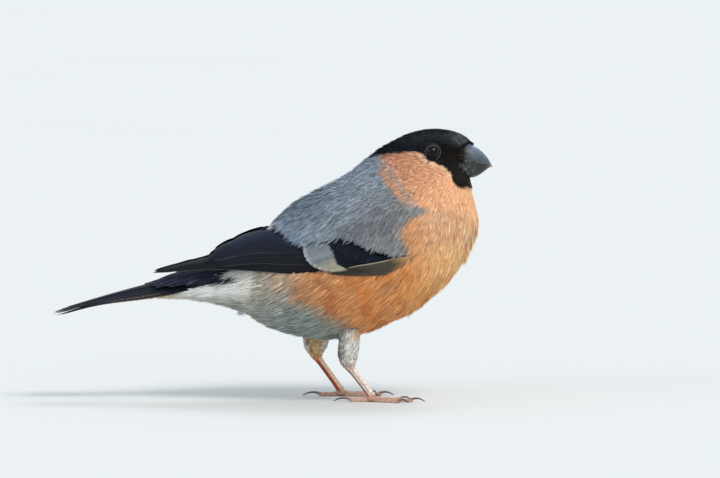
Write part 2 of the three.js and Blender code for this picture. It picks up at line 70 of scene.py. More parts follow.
class Rows:
    """A smooth curve through rows of numbers at the given knots, straight beyond its ends."""

    def __init__(self, rows, knots):
        self.r, self.k = np.array(rows, float), np.array(knots, float)
        step = np.diff(self.r, axis=0) / np.diff(self.k)[:, None]
        h = np.diff(self.k)
        inner = (step[:-1] * h[1:, None] + step[1:] * h[:-1, None]) / (h[:-1] + h[1:])[:, None]
        self.s = np.vstack([step[:1], inner, step[-1:]])

    def __call__(self, t):
        t = np.atleast_1d(np.asarray(t, float))
        c = np.clip(t, self.k[0], self.k[-1])
        i = np.clip(np.searchsorted(self.k, c, side="right") - 1, 0, len(self.k) - 2)
        h = self.k[i + 1] - self.k[i]
        u = ((c - self.k[i]) / h)[:, None]
        h = h[:, None]
        out = ((2 * u**3 - 3 * u**2 + 1) * self.r[i] + (u**3 - 2 * u**2 + u) * h * self.s[i]
               + (-2 * u**3 + 3 * u**2) * self.r[i + 1] + (u**3 - u**2) * h * self.s[i + 1])
        beyond = (t - c)[:, None]
        return out + beyond * np.where(beyond < 0, self.s[0], self.s[-1])


def chord_knots(rows, pairs, unit_length=True):
    r = np.array(rows, float)
    steps = sum(np.hypot(np.diff(r[:, a]), np.diff(r[:, b])) for a, b in pairs) / len(pairs)
    k = np.concatenate([[0], np.cumsum(steps)])
    return k / k[-1] if unit_length else k


def signed_distance(x, z, outline):
    """How far inside a closed outline each point lies, in mm; negative outside."""
    p = np.array(outline, float)
    q = np.roll(p, -1, axis=0)
    best = np.full(x.shape, 1e9)
    inside = np.zeros(x.shape, bool)
    for (ax, az), (bx, bz) in zip(p, q):
        ex, ez = bx - ax, bz - az
        s = np.clip(((x - ax) * ex + (z - az) * ez) / max(ex * ex + ez * ez, 1e-9), 0, 1)
        best = np.minimum(best, np.hypot(x - ax - s * ex, z - az - s * ez))
        cross = (az > z) != (bz > z)
        with np.errstate(divide="ignore", invalid="ignore"):
            at = ax + (z - az) / (bz - az if bz != az else 1e-9) * ex
        inside ^= cross & (x < at)
    return np.where(inside, best, -best)


def line_distance(x, z, line):
    p = np.array(line, float)
    best = np.full(x.shape, 1e9)
    for (ax, az), (bx, bz) in zip(p[:-1], p[1:]):
        ex, ez = bx - ax, bz - az
        s = np.clip(((x - ax) * ex + (z - az) * ez) / max(ex * ex + ez * ez, 1e-9), 0, 1)
        best = np.minimum(best, np.hypot(x - ax - s * ex, z - az - s * ez))
    return best


def blobs(points, x, z, spread):
    """Shares of a few named places at each point, by nearness, adding up to one."""
    p = np.array([q[:2] for q in points], float)
    d2 = (x[:, None] - p[:, 0]) ** 2 + (z[:, None] - p[:, 1]) ** 2
    w = np.exp(-d2 / (2 * spread**2)) + 1e-9 / (1 + d2)
    return w / w.sum(1, keepdims=True)


def make(name, verts, faces, material, uv=None, colour=None, shade=True, stands_for=(), extra=None):
    """A mesh object from vertices in mm and one or more arrays of triangles or quads."""
    faces = [np.asarray(f, np.int64) for f in (faces if isinstance(faces, list) else [faces])]
    me = bpy.data.meshes.new(name)
    me.vertices.add(len(verts))
    me.vertices.foreach_set("co", (np.asarray(verts, np.float32) * MM).ravel())
    loops = np.concatenate([f.ravel() for f in faces])
    sizes = np.concatenate([np.full(len(f), f.shape[1]) for f in faces])
    me.loops.add(len(loops))
    me.loops.foreach_set("vertex_index", loops.astype(np.int32))
    me.polygons.add(len(sizes))
    me.polygons.foreach_set("loop_start", np.concatenate([[0], np.cumsum(sizes)[:-1]]).astype(np.int32))
    me.polygons.foreach_set("use_smooth", np.full(len(sizes), bool(shade)))
    me.update(calc_edges=True)
    layer = me.uv_layers.new(name="OFBake")
    if uv is None:
        uv = np.zeros((len(verts), 2))
    per_loop = np.asarray(uv)[loops] if len(uv) == len(verts) else np.asarray(uv)
    layer.uv.foreach_set("vector", np.ascontiguousarray(per_loop, np.float32).ravel())
    if colour is not None:
        c = np.ones((len(verts), 4), np.float32)
        c[:, :3] = colour
        me.color_attributes.new("Col", "FLOAT_COLOR", "POINT").data.foreach_set("color", c.ravel())
    for key, values in (extra or {}).items():
        me.attributes.new(key, "FLOAT", "POINT").data.foreach_set("value", np.asarray(values, np.float32))
    ob = bpy.data.objects.new(name, me)
    bpy.context.scene.collection.objects.link(ob)
    for m in material if isinstance(material, (list, tuple)) else [material]:
        me.materials.append(m)
    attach(ob, "root")
    if stands_for:
        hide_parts(*stands_for)
    return ob


def tube_faces(rings, sides, closed_ends=True, base=0):
    """Quads over rings of points, and triangle fans to two extra points at the ends."""
    r, s = np.meshgrid(np.arange(rings - 1), np.arange(sides), indexing="ij")
    a = base + r * sides + s
    b = base + r * sides + (s + 1) % sides
    quads = np.stack([a, b, b + sides, a + sides], -1).reshape(-1, 4)
    if not closed_ends:
        return quads, None
    i = np.arange(sides)
    j = (i + 1) % sides
    first = base + rings * sides
    last = base + (rings - 1) * sides
    fans = np.vstack([np.stack([np.full(sides, first), base + j, base + i], -1),
                      np.stack([np.full(sides, first + 1), last + i, last + j], -1)])
    return quads, fans


# ------------------------------------------------------------------------------------------------ body surface
# back x,z | belly x,z | half-width | widest line | lag of the flanks | fullness of the upper half
BODY = [
    [-36.6, 34.5, -37.6, 33.4, 2.0, 0.50, 0.0, 0.90], [-31.0, 36.4, -32.0, 32.8, 4.8, 0.50, 0.0, 0.90],
    [-24.0, 39.4, -24.2, 32.0, 7.6, 0.50, 0.0, 0.90], [-16.6, 43.0, -16.7, 30.6, 10.6, 0.50, 0.0, 0.88],
    [-10.8, 47.0, -9.8, 28.6, 13.5, 0.50, 0.0, 0.86], [-5.0, 51.8, -3.6, 25.0, 16.5, 0.50, 0.0, 0.84],
    [0.4, 58.6, 3.9, 22.2, 19.0, 0.50, 0.0, 0.82], [7.2, 64.7, 14.7, 20.1, 21.2, 0.50, 0.0, 0.82],
    [15.4, 69.3, 25.2, 20.9, 22.3, 0.50, 0.0, 0.82], [22.9, 73.1, 36.6, 24.3, 22.6, 0.50, 0.0, 0.82],
    [28.4, 77.5, 48.2, 30.2, 22.0, 0.50, 0.0, 0.82], [32.0, 80.3, 58.9, 39.8, 20.2, 0.50, 0.0, 0.80],
    [36.6, 83.0, 65.2, 50.8, 17.6, 0.50, 0.0, 0.76], [41.5, 85.5, 67.0, 57.3, 15.1, 0.52, 0.4, 0.70],
    [46.1, 87.3, 66.2, 62.8, 13.1, 0.54, 1.6, 0.64], [50.7, 88.2, 65.2, 66.8, 11.6, 0.54, 3.2, 0.60],
    [55.2, 88.2, 64.7, 69.4, 10.3, 0.52, 4.3, 0.60], [59.8, 87.3, 64.5, 71.4, 9.1, 0.50, 5.0, 0.62],
    [63.0, 85.8, 64.0, 72.8, 7.3, 0.50, 5.0, 0.66], [65.0, 84.2, 62.9, 73.8, 5.8, 0.50, 3.9, 0.80],
]
FULL_BELLY = 0.92
body_at = Rows(BODY, chord_knots(BODY, [(0, 1), (2, 3)]))


def body_point(t, a, h=0.0):
    """The plumage surface: t from the undertail to the bill, a round the ring from the back, h mm above it."""
    r = body_at(t)
    dx, dz, vx, vz, w, b, lag, full = r.T
    w = np.maximum(w, 0.6)
    c, sa = np.cos(a), np.sin(a)
    long = np.hypot(vx - dx, vz - dz)
    ex, ez = (vx - dx) / long, (vz - dz) / long
    s = np.where(c > 0, b * (1 - c), b - (1 - b) * c)
    along = s * (long + 2 * h) - h
    back = lag * sa**2
    side = np.sign(sa) * np.abs(sa) ** np.where(c > 0, full, FULL_BELLY)
    return np.stack([dx + ex * along + ez * back, (w + h) * side, dz + ez * along - ex * back], -1)


def body_frame(t, a, h=0.0):
    """Point, its rates along t and a, and the outward normal."""
    e, f = 2e-4, 2e-3
    p = body_point(t, a, h)
    pt = (body_point(t + e, a, h) - body_point(t - e, a, h)) / (2 * e)
    pa = (body_point(t, a + f, h) - body_point(t, a - f, h)) / (2 * f)
    n = unit(np.cross(pa, pt))
    mid = body_at(t)
    centre = np.stack([(mid[:, 0] + mid[:, 2]) / 2, np.zeros(len(mid)), (mid[:, 1] + mid[:, 3]) / 2], -1)
    flip = np.sign(np.sum(n * (p - centre), 1))
    flip[flip == 0] = 1
    return p, pt, pa, n * flip[:, None]


def body_step(t, a, d):
    """Moves each surface place by the vector d, in mm, along the surface."""
    _, pt, pa, _ = body_frame(t, a)
    g11, g12, g22 = (pt * pt).sum(1), (pt * pa).sum(1), (pa * pa).sum(1)
    r1, r2 = (pt * d).sum(1), (pa * d).sum(1)
    det = np.maximum(g11 * g22 - g12 * g12, 1e-6 * g11 * np.maximum(g22, 1e-3))
    dt, da = (r1 * g22 - r2 * g12) / det, (r2 * g11 - r1 * g12) / det
    return t + np.clip(dt, -0.25, 0.25), a + np.clip(da, -0.8, 0.8)


# ------------------------------------------------------------------------------------------------ wing surface
# top edge y,z | lower edge y,z | outward bulge | half-thickness, at x, for the folded right wing with y counted
# outwards; the last rows carry the surface on along the primaries.
WING = [
    [42.8, 20.0, 45.6, 19.7, 44.6, 0.0, 0.8], [39.0, 21.4, 47.9, 20.4, 43.3, 0.3, 1.3],
    [34.0, 21.9, 50.0, 20.9, 42.5, 0.4, 1.6], [24.2, 21.7, 52.7, 21.5, 42.3, 0.6, 1.8],
    [12.1, 19.8, 53.8, 20.9, 42.2, 1.2, 1.7], [5.6, 15.2, 55.6, 20.2, 42.2, 2.9, 1.6],
    [-0.9, 5.2, 56.9, 19.0, 42.3, 4.6, 1.5], [-7.0, 3.9, 54.9, 17.2, 42.7, 4.0, 1.3],
    [-13.0, 3.7, 52.2, 15.0, 43.3, 3.0, 1.1], [-18.0, 3.9, 49.6, 12.7, 43.7, 2.1, 0.8],
    [-21.0, 4.6, 46.9, 11.5, 43.5, 1.4, 0.6], [-25.0, 4.8, 45.8, 8.9, 42.9, 0.6, 0.5],
    [-29.0, 5.0, 44.9, 7.8, 42.5, 0.3, 0.45], [-33.0, 5.2, 43.6, 7.0, 42.1, 0.2, 0.42],
    [-36.2, 5.3, 42.8, 6.4, 41.7, 0.1, 0.4], [-39.2, 5.2, 41.9, 5.8, 41.4, 0.0, 0.4],
]
wing_at = Rows([r[1:] for r in WING], [-r[0] for r in WING])

# The side view is taken from 3.5 degrees above level: heights in it are "seen" heights.
VIEW_C, VIEW_S = math.cos(math.radians(3.5)), math.sin(math.radians(3.5))


def seen(p):
    """Height of a point in the side view of its own side."""
    return p[..., 2] * VIEW_C - np.abs(p[..., 1]) * VIEW_S


def wing_point(x, v, off):
    """Right wing at height x along it and share v from its top edge; off mm outwards of its middle surface."""
    ty, tz, ly, lz, bulge, _ = wing_at(-x).T
    long = np.maximum(np.hypot(ly - ty, lz - tz), 0.3)
    ny, nz = (tz - lz) / long, (ly - ty) / long
    out = bulge * 4 * v * (1 - v) + off
    return np.stack([x, -(lerp(ty, ly, v) + ny * out), lerp(tz, lz, v) + nz * out], -1)


def wing_from_side(x, zv, off):
    """The wing's surface where the side view shows x and seen height zv; it carries straight on past its edges."""
    ty, tz, ly, lz, bulge, _ = wing_at(-x).T
    long = np.maximum(np.hypot(ly - ty, lz - tz), 0.3)
    ny, nz = (tz - lz) / long, (ly - ty) / long
    v = np.full(np.shape(x), 0.5)
    slope = VIEW_C * (lz - tz) - VIEW_S * (ly - ty)
    for _ in range(6):
        c = np.clip(v, 0, 1)
        out = bulge * 4 * c * (1 - c) + off
        y, z = lerp(ty, ly, v) + ny * out, lerp(tz, lz, v) + nz * out
        v = v + (zv - (VIEW_C * z - VIEW_S * y)) / slope
    c = np.clip(v, 0, 1)
    out = bulge * 4 * c * (1 - c) + off
    return np.stack([x, -(lerp(ty, ly, v) + ny * out), lerp(tz, lz, v) + nz * out], -1)


def wing_half(x):
    return wing_at(-x)[:, 5]


# ------------------------------------------------------------------------------------------------ markings
# Outlines in the side view, x,z. All of them are the same on both sides of the bird.
CAP = [(30.2, 78.3), (34.0, 79.6), (39.0, 80.0), (43.0, 80.6), (45.7, 80.8), (47.4, 80.6), (48.9, 80.0), (50.3, 78.6), (53.2, 77.0),
       (55.6, 75.9), (57.0, 74.4), (58.8, 72.1), (59.3, 70.6), (60.8, 69.5), (62.9, 69.4), (64.5, 69.5), (80, 69.8),
       (80, 95), (20, 95), (24, 77.4)]
GREY = [(24, 81), (31, 80.5), (34.2, 80.6), (35.6, 77.4), (35.0, 74.8), (35.4, 72.9), (37.3, 69.9), (39.4, 66.8),
        (41.2, 64.9), (43.3, 63.5), (45.6, 62.9), (48.4, 62.3), (51.2, 61.7), (49.5, 60.6), (46.2, 59.2), (43.4, 57.2),
        (41.8, 55.2), (42.0, 53.3), (42.6, 51.2), (43.8, 49.0), (43.4, 46.5), (41.5, 44.6), (20, 44.2), (-20, 44), (-40, 60),
        (-10, 95)]
GREY_LINE = [(35.4, 77.8), (37.4, 75.2), (39.6, 71.8), (41.6, 68.4), (43.2, 65.6), (45.0, 63.4)]
ORANGE = [(6.6, 44.0), (6.6, 40.2), (6.8, 35.6), (6.0, 32.2), (12.6, 29.8), (17.0, 26.8), (23.0, 25.2), (24.4, 22.0),
          (30.0, 16.0), (90, 16.0), (90, 82), (30, 82), (30, 44)]
WHITE_EDGE = [(-6.4, 50.0), (-6.4, 36.8), (-7.0, 33.0), (-9.6, 28.6), (-11.0, 24.0)]
WHITE = [(-6.4, 60.0), (-6.4, 36.8), (-7.0, 33.0), (-9.6, 28.0), (-11.0, 20.0), (-60, 20), (-60, 60)]
WEDGE = [(-11.0, 38.1), (-13.6, 39.3), (-16.6, 39.9), (-20.0, 41.2), (-24, 44), (-34, 44), (-34, 35.6), (-25.6, 36.0), (-22.0, 37.2),
         (-15.4, 37.8)]
WEDGE_INK = linear((26, 24, 34))

# Colours named for the places that carry them (display values, turned linear).
CAP_BLACK, CAP_PAINTED_SHEEN, FACE_BLACK = linear((14, 15, 16)), linear((30, 38, 48)), linear((30, 25, 19))
WARM = [(37.0, 79.0, linear((206, 148, 114))), (45.0, 77.0, linear((216, 160, 126))), (47.0, 70.0, linear((236, 182, 140))),
        (57.0, 66.0, linear((244, 189, 143))), (61.0, 55.0, linear((240, 192, 150))), (56.0, 44.0, linear((232, 184, 138))),
        (44.0, 50.0, linear((226, 174, 128))), (46.0, 34.0, linear((230, 168, 112))), (34.0, 36.0, linear((222, 152, 92))),
        (22.0, 34.0, linear((216, 156, 104))), (12.0, 36.0, linear((200, 150, 112))), (30.0, 26.0, linear((224, 164, 112)))]
COOL = [(28.0, 78.0, linear((140, 154, 172))), (18.0, 68.0, linear((122, 138, 156))), (5.0, 60.0, linear((116, 132, 150))),
        (20.0, 58.0, linear((142, 152, 162))), (30.0, 66.0, linear((150, 158, 166))), (34.0, 56.0, linear((138, 142, 148))),
        (41.0, 50.0, linear((140, 142, 142))), (46.0, 60.5, linear((150, 150, 150)))]
# Lower belly: its grey-white with painted shade, darker and greener than the white it has.
UNDER_PAINTED_SHADE = [(-2.0, 38.0, linear((184, 176, 158))), (-1.0, 31.0, linear((176, 180, 174))), (8.0, 26.0, linear((158, 168, 164))),
         (18.0, 22.0, linear((164, 170, 160))), (3.0, 42.0, linear((190, 170, 144)))]
BUFF = linear((196, 158, 124))
SNOW, SNOW_WARM, SNOW_PAINTED_SHADE = linear((242, 242, 238)), linear((238, 226, 204)), linear((204, 206, 196))


def mixed(points, x, z, spread):
    return blobs(points, x, z, spread) @ np.array([p[2] for p in points])


def markings(x, y, z, nz):
    """The plumage's colour at each place, with painted light and shade in parts of it, its streak strength and its
    pale-tip strength.
    """
    ripple = 0.5 * np.sin(x * 1.9 + z * 0.7) + 0.35 * np.sin(x * 0.8 - z * 2.3 + 1.0)
    warm = mixed(WARM, x, z, 5.5)
    # richer orange patches along the flank
    rich = smooth(np.sin(x * 0.55 + 0.6 * np.sin(z * 0.5) + z * 0.32), 0.0, 1.0) * smooth(48 - x, 0, 14) * smooth(48 - z, 0, 6)
    warm = warm * (1 - rich[:, None] * np.array([0.12, 0.26, 0.40]))
    # painted light: the orange below the breast's middle is lightened, in place of rim light on the lower breast and
    # flank
    warm = warm * (1 + smooth(54 - z, 0, 10)[:, None] * np.array([0.15, 0.15, 0.0]))
    cool = mixed(COOL, x, z, 6.0)
    dusk = np.exp(-(((x - 37.0) / 6.0) ** 2) - ((z - 57.5) / 6.5) ** 2)
    scapular = np.exp(-(((x - 25.5) / 8.0) ** 2) - ((z - 54.6) / 3.6) ** 2)
    cool = cool * (1 - 0.24 * dusk[:, None]) * (1 - 0.40 * scapular[:, None]) * (1 - 0.12 * smooth(20 - x, 0, 6) * smooth(z, 54, 58))[:, None]
    under = mixed(UNDER_PAINTED_SHADE, x, z, 5.0)

    col = under.copy()
    streak = np.full(x.shape, 0.75)
    pale = np.full(x.shape, 0.45)

    flank = smooth(signed_distance(x, z, ORANGE) + ripple * 1.3, -3.2, 3.0)
    buff = smooth(6.5 - np.abs(x - 3.0), 0, 6) * smooth(z, 30, 40) * (1 - flank)
    col = lerp(col, BUFF, 0.55 * buff[:, None])
    col = lerp(col, warm, flank[:, None])
    streak = lerp(streak, 0.46, flank)
    pale = lerp(pale, 0.30, flank)

    white = smooth(signed_distance(x, z, WHITE) + ripple * 0.4, -1.0, 1.2)
    # painted shade: the white darkens towards the bottom, like its shaded underside
    snow = lerp(SNOW * 1.04, SNOW_PAINTED_SHADE * 0.86, smooth(35.5 - z, 0, 5)[:, None])
    snow = lerp(snow, SNOW_WARM, (smooth(-27 - x, 0, 8) + 0.5 * smooth(4 - np.abs(x + 8), 0, 4))[:, None].clip(0, 1))
    # the black upper tail coverts reach forward in a wedge below a white strip
    wedge = smooth(signed_distance(x, z, WEDGE) + ripple * 0.5, -0.25, 0.35)
    # between the wings the rump is white too
    rump = smooth(0.5 - x, 0, 3) * smooth(nz, 0.1, 0.5) * smooth(59.0 - z, 0, 2.5)
    white = np.maximum(white, rump * smooth(7.5 - np.abs(y), 0, 1.5))
    col = lerp(col, snow, white[:, None])
    col = lerp(col, WEDGE_INK, wedge[:, None])
    streak = lerp(streak, 0.13, white * (1 - wedge))
    pale = lerp(pale, 0.2, white) * (1 - 0.8 * wedge)

    grey = smooth(signed_distance(x, z, GREY) + ripple * 0.35, -0.5, 0.7) * (1 - rump * smooth(7.5 - np.abs(y), 0, 1.5))
    col = lerp(col, cool, grey[:, None])
    streak = lerp(streak, 0.86, grey)
    pale = lerp(pale, 0.72, grey)

    line = smooth(1.3 - line_distance(x, z, GREY_LINE) + ripple * 0.3, -0.9, 1.2) * 0.66
    outer = smooth(38.0 - x - (z - 70) * 0.25, -1.0, 3.0) * smooth(z, 62, 66)
    col = lerp(col, linear((196, 164, 146)), (0.40 * outer * (1 - grey))[:, None])
    col = lerp(col, linear((182, 174, 168)), line[:, None])
    # a pale greyish wash on the upper breast, and deeper orange beside the bend of the wing
    wash = np.exp(-(((x - 53.5) / 4.5) ** 2) - ((z - 58.5) / 3.4) ** 2)
    col = lerp(col, linear((214, 194, 172)), (0.32 * wash * (1 - grey))[:, None])
    deep = np.exp(-(((x - 43.8) / 3.2) ** 2) - ((z - 41.5) / 4.6) ** 2) + 0.6 * np.exp(-(((x - 45.0) / 2.6) ** 2) - ((z - 51.5) / 3.2) ** 2)
    col = col * (1 - (deep * (1 - grey))[:, None] * np.array([0.12, 0.24, 0.40]))

    cap = smooth(signed_distance(x, z, CAP) + ripple * 0.12, -0.22, 0.22)
    cap = np.maximum(cap, smooth(3.2 - np.hypot(x - 52.2, z - 80.5), -0.12, 0.12) * (np.abs(y) > 5))
    face = smooth(x, 50, 58) * smooth(82 - z, 0, 4)
    black = lerp(CAP_BLACK, FACE_BLACK, face[:, None])
    # painted sheen: the black cap turns blue-grey where it faces up
    top = smooth(nz, 0.05, 0.85)
    black = lerp(black, CAP_PAINTED_SHEEN, (0.55 * top)[:, None])
    # a paler rim of cheek feathers under the black
    edge = signed_distance(x, z, CAP)
    rim = smooth(edge, -1.5, -0.7) * smooth(x, 46, 50) * smooth(60 - x, 0, 3) * (z > 72)
    col = lerp(col, linear((238, 208, 168)), (0.60 * rim)[:, None])
    col = lerp(col, black, cap[:, None])
    streak = lerp(streak, 1.3, cap)
    pale = lerp(pale, 0.10 + 0.9 * smooth(x, 54, 63) * smooth(z, 80.5, 84) + 0.75 * smooth(z, 81.5, 86), cap)
    return col, streak, pale, cap


# Which way the feathers lie, as the angle below level of a line that runs back along the side of the bird.
LIE = [(64, 81, 4), (58, 79, 8), (52, 86, -4), (45, 85, 2), (50, 75, 30), (44, 77, 20), (40, 72, 32), (36, 79, 26), (48, 70, 42),
       (55, 69, 58), (60, 66, 78), (62, 60, 86), (61, 48, 80), (55, 40, 66), (46, 36, 50), (36, 30, 34), (22, 24, 20),
       (9, 28, 24), (0, 32, 24), (-11, 34, 14), (-24, 35, 10), (-36, 34, 10), (35, 38, 38), (19, 37, 36), (6, 39, 38),
       (51, 57, 66), (46, 52, 60), (42, 48, 56), (38, 57, 64), (28, 60, 54), (19, 60, 50), (9, 60, 42), (2, 58, 36),
       (33, 74, 44), (30, 70, 50), (25, 68, 48), (-8, 50, 34)]


def lie_of(p, n):
    """The unit direction that a feather at p lies in, along a surface with normal n."""
    w = blobs([(a, b) for a, b, _ in LIE], p[:, 0], p[:, 2], 4.2)
    ang = np.radians(w @ np.array([c for _, _, c in LIE]))
    d = np.stack([-np.cos(ang), np.zeros(len(p)), -np.sin(ang)], -1)
    d = d - (d * n).sum(1, keepdims=True) * n
    weak = np.linalg.norm(d, axis=1) < 0.25
    if weak.any():
        d[weak] += np.array([0, 0, -0.6]) - (np.array([0, 0, -0.6]) * n[weak]).sum(1, keepdims=True) * n[weak]
    return unit(d)


EYE = dict(x=51.8, z=81.1, y=8.9, r=2.9, opening=2.24, axis=(0.20, 1.0, 0.03))


def around_eye(p):
    """Distance from the eye's axis line in mm, and the unit direction away from it, for points on either side."""
    side = np.sign(p[:, 1])
    c = np.stack([np.full(len(p), EYE["x"]), side * EYE["y"], np.full(len(p), EYE["z"])], -1)
    ax = np.stack([np.full(len(p), EYE["axis"][0]), side * EYE["axis"][1], np.full(len(p), EYE["axis"][2])], -1)
    ax = unit(ax)
    q = p - c
    q = q - (q * ax).sum(1, keepdims=True) * ax
    d = np.linalg.norm(q, axis=1)
    return d, q / np.maximum(d, 1e-6)[:, None]


# The wing's outline in the side view, x and seen height; its upper border is where the grey feathers end.
WING_OUTLINE = [(42.5, 43.6), (39.8, 45.9), (36.0, 47.0), (30.7, 48.4), (25.8, 51.0), (20.4, 52.0), (18.6, 51.0), (14.0, 51.6),
                (10.8, 51.2), (7.5, 51.6), (4.1, 53.2), (1.6, 55.8), (-0.9, 56.8), (-1.8, 57.0), (-6.9, 54.9), (-13.4, 52.0),
                (-18.8, 49.2), (-21.2, 46.4), (-22.2, 46.1), (-22.6, 42.6), (-17.3, 43.0), (-10.1, 42.0), (-4.2, 41.3),
                (9.2, 40.8), (25.2, 41.1), (31.7, 41.0), (37.5, 41.6)]


# The small feathers at the bend of the wing, which lie over the breast's
HAND = [(36.0, 41.2), (39.4, 41.6), (42.2, 42.8), (43.8, 44.1), (45.4, 45.4), (45.6, 46.8), (43.0, 46.6), (40.1, 45.9), (36.0, 44.6)]


def wing_top(x):
    """How far the outermost wing feathers lie outside the wing's middle surface."""
    return lerp(1.0, 2.0, smooth(x, 2, 12)) * smooth(x, -40, -12)


def below_border(x, zv):
    """How far below the wing's upper border a place lies in the side view."""
    line = np.array([(-24, 45.5), (-21.2, 46.4), (-18.8, 49.2), (-13.4, 52.0), (-6.9, 54.9), (-1.8, 57.0), (-0.9, 56.8), (1.6, 55.8),
                     (4.1, 53.2), (7.5, 51.6), (10.8, 51.2), (14, 51.6), (18.6, 51.0), (20.4, 52.0), (25.8, 51.0), (30.7, 48.4),
                     (36, 47), (39.8, 45.9), (42.5, 43.6)])
    return np.interp(x, line[:, 0], line[:, 1]) - zv


def over_wing(p, extra, near=(-5.5, -0.6)):
    """Lifts points over or just above the wing's outline to extra mm above its outer feathers."""
    x = p[:, 0]
    zv = seen(p)
    inside = signed_distance(x, zv, WING_OUTLINE)
    flank = smooth(np.abs(p[:, 1]), 3.0, 7.0) * smooth(x, -26, -22) * smooth(47.5 - x, 0, 6)
    xc = np.clip(x, -24, 40.5)
    face = wing_from_side(xc, zv, wing_top(xc) + extra)
    y, z = np.abs(face[:, 1]), face[:, 2]
    share = smooth(inside, *near) * flank * np.maximum(smooth(zv, 42.5, 45.0), smooth(x, 34, 40))
    out = p.copy()
    share = share * (y > np.abs(p[:, 1]))
    out[:, 1] = np.sign(p[:, 1]) * lerp(np.abs(p[:, 1]), y, share)
    out[:, 2] = lerp(p[:, 2], z, share)
    return out, inside, flank


# ------------------------------------------------------------------------------------------------ tufts of barbs
def barb_mesh(root, mid, tip, across, lift, width, colours, patch):
    """Thin closed barbs: a root, a tip, and two flanks at the middle; four triangles each.
    colours is (root, middle, tip); patch is (root uv, middle uv, tip uv, side step)."""
    n = len(root)
    half = (across * width[:, None] / 2)
    a = mid - half + lift * 0.0
    b = mid + half + lift
    verts = np.stack([root, a, b, tip], 1).reshape(-1, 3)
    i = np.arange(n)[:, None] * 4
    faces = (i[:, :, None] + np.array([[0, 1, 2], [1, 3, 2], [0, 3, 1], [0, 2, 3]])[None]).reshape(-1, 3)
    col = np.stack([colours[0], colours[1], colours[1], colours[2]], 1).reshape(-1, 3)
    uv = np.stack([patch[0], patch[1] - patch[3], patch[1] + patch[3], patch[2]], 1).reshape(-1, 2)
    return verts, faces, col, uv


def frame_of(point, t, a):
    """Point, outward normal and, for each place, the rates of the surface along t and a."""
    e, f = 2e-4, 2e-3
    p = point(t, a, 0.0)
    pt = (point(t + e, a, 0.0) - point(t - e, a, 0.0)) / (2 * e)
    pa = (point(t, a + f, 0.0) - point(t, a - f, 0.0)) / (2 * f)
    n = unit(np.cross(pa, pt))
    out = point(t, a, 0.5) - point(t, a, -0.5)
    flip = np.sign((n * out).sum(1))
    flip[flip == 0] = 1
    return p, n * flip[:, None], pt, pa


def steps_of(pt, pa, d, s):
    """Changes of t and a for one mm along d and along s."""
    g11, g12, g22 = (pt * pt).sum(1), (pt * pa).sum(1), (pa * pa).sum(1)
    det = np.maximum(g11 * g22 - g12 * g12, 1e-3 * g11 * np.maximum(g22, 0.04))
    out = []
    for v in (d, s):
        r1, r2 = (pt * v).sum(1), (pa * v).sum(1)
        out.append((np.clip((r1 * g22 - r2 * g12) / det, -0.05, 0.05), np.clip((r2 * g11 - r1 * g12) / det, -0.5, 0.5)))
    return out


def scatter(point, t_range, spacing_of, rng, a_range=(0, TAU), crowd=0.74):
    """Places on a surface about spacing_of(p, n) apart, evenly over its area and in no pattern."""
    grid_t, grid_a = np.meshgrid(np.linspace(*t_range, 240), np.linspace(*a_range, 160), indexing="ij")
    p, n, pt, pa = frame_of(point, grid_t.ravel(), grid_a.ravel())
    area = np.linalg.norm(np.cross(pt, pa), axis=1)
    s = spacing_of(p, n)
    weight = np.where(s > 0, area / np.maximum(s, 0.05) ** 2, 0)
    cell = (t_range[1] - t_range[0]) / 239 * (a_range[1] - a_range[0]) / 159
    wanted = weight.sum() * cell
    tries = int(wanted * 2.6)
    pick = np.searchsorted(np.cumsum(weight) / weight.sum(), rng.random(tries))
    t = grid_t.ravel()[pick] + rng.uniform(-0.5, 0.5, tries) * (t_range[1] - t_range[0]) / 239
    a = grid_a.ravel()[pick] + rng.uniform(-0.5, 0.5, tries) * (a_range[1] - a_range[0]) / 159
    t = np.clip(t, *t_range)
    p = point(t, a, 0.0)
    s = s[pick] * crowd
    cells, keep = {}, []
    size = 1.2
    key = np.floor(p / size).astype(int)
    pl, sl, kl = p.tolist(), s.tolist(), key.tolist()
    for i in range(tries):
        kx, ky, kz = kl[i]
        x, y, z = pl[i]
        r2 = sl[i] ** 2
        ok = True
        reach = 1 if sl[i] <= size else 2
        for ix in range(kx - reach, kx + reach + 1):
            for iy in range(ky - reach, ky + reach + 1):
                for iz in range(kz - reach, kz + reach + 1):
                    for (ox, oy, oz) in cells.get((ix, iy, iz), ()):
                        if (x - ox) ** 2 + (y - oy) ** 2 + (z - oz) ** 2 < r2:
                            ok = False
                            break
                    if not ok:
                        break
                if not ok:
                    break
            if not ok:
                break
        if ok:
            cells.setdefault((kx, ky, kz), []).append((x, y, z))
            keep.append(i)
    keep = np.array(keep)
    return t[keep], a[keep]


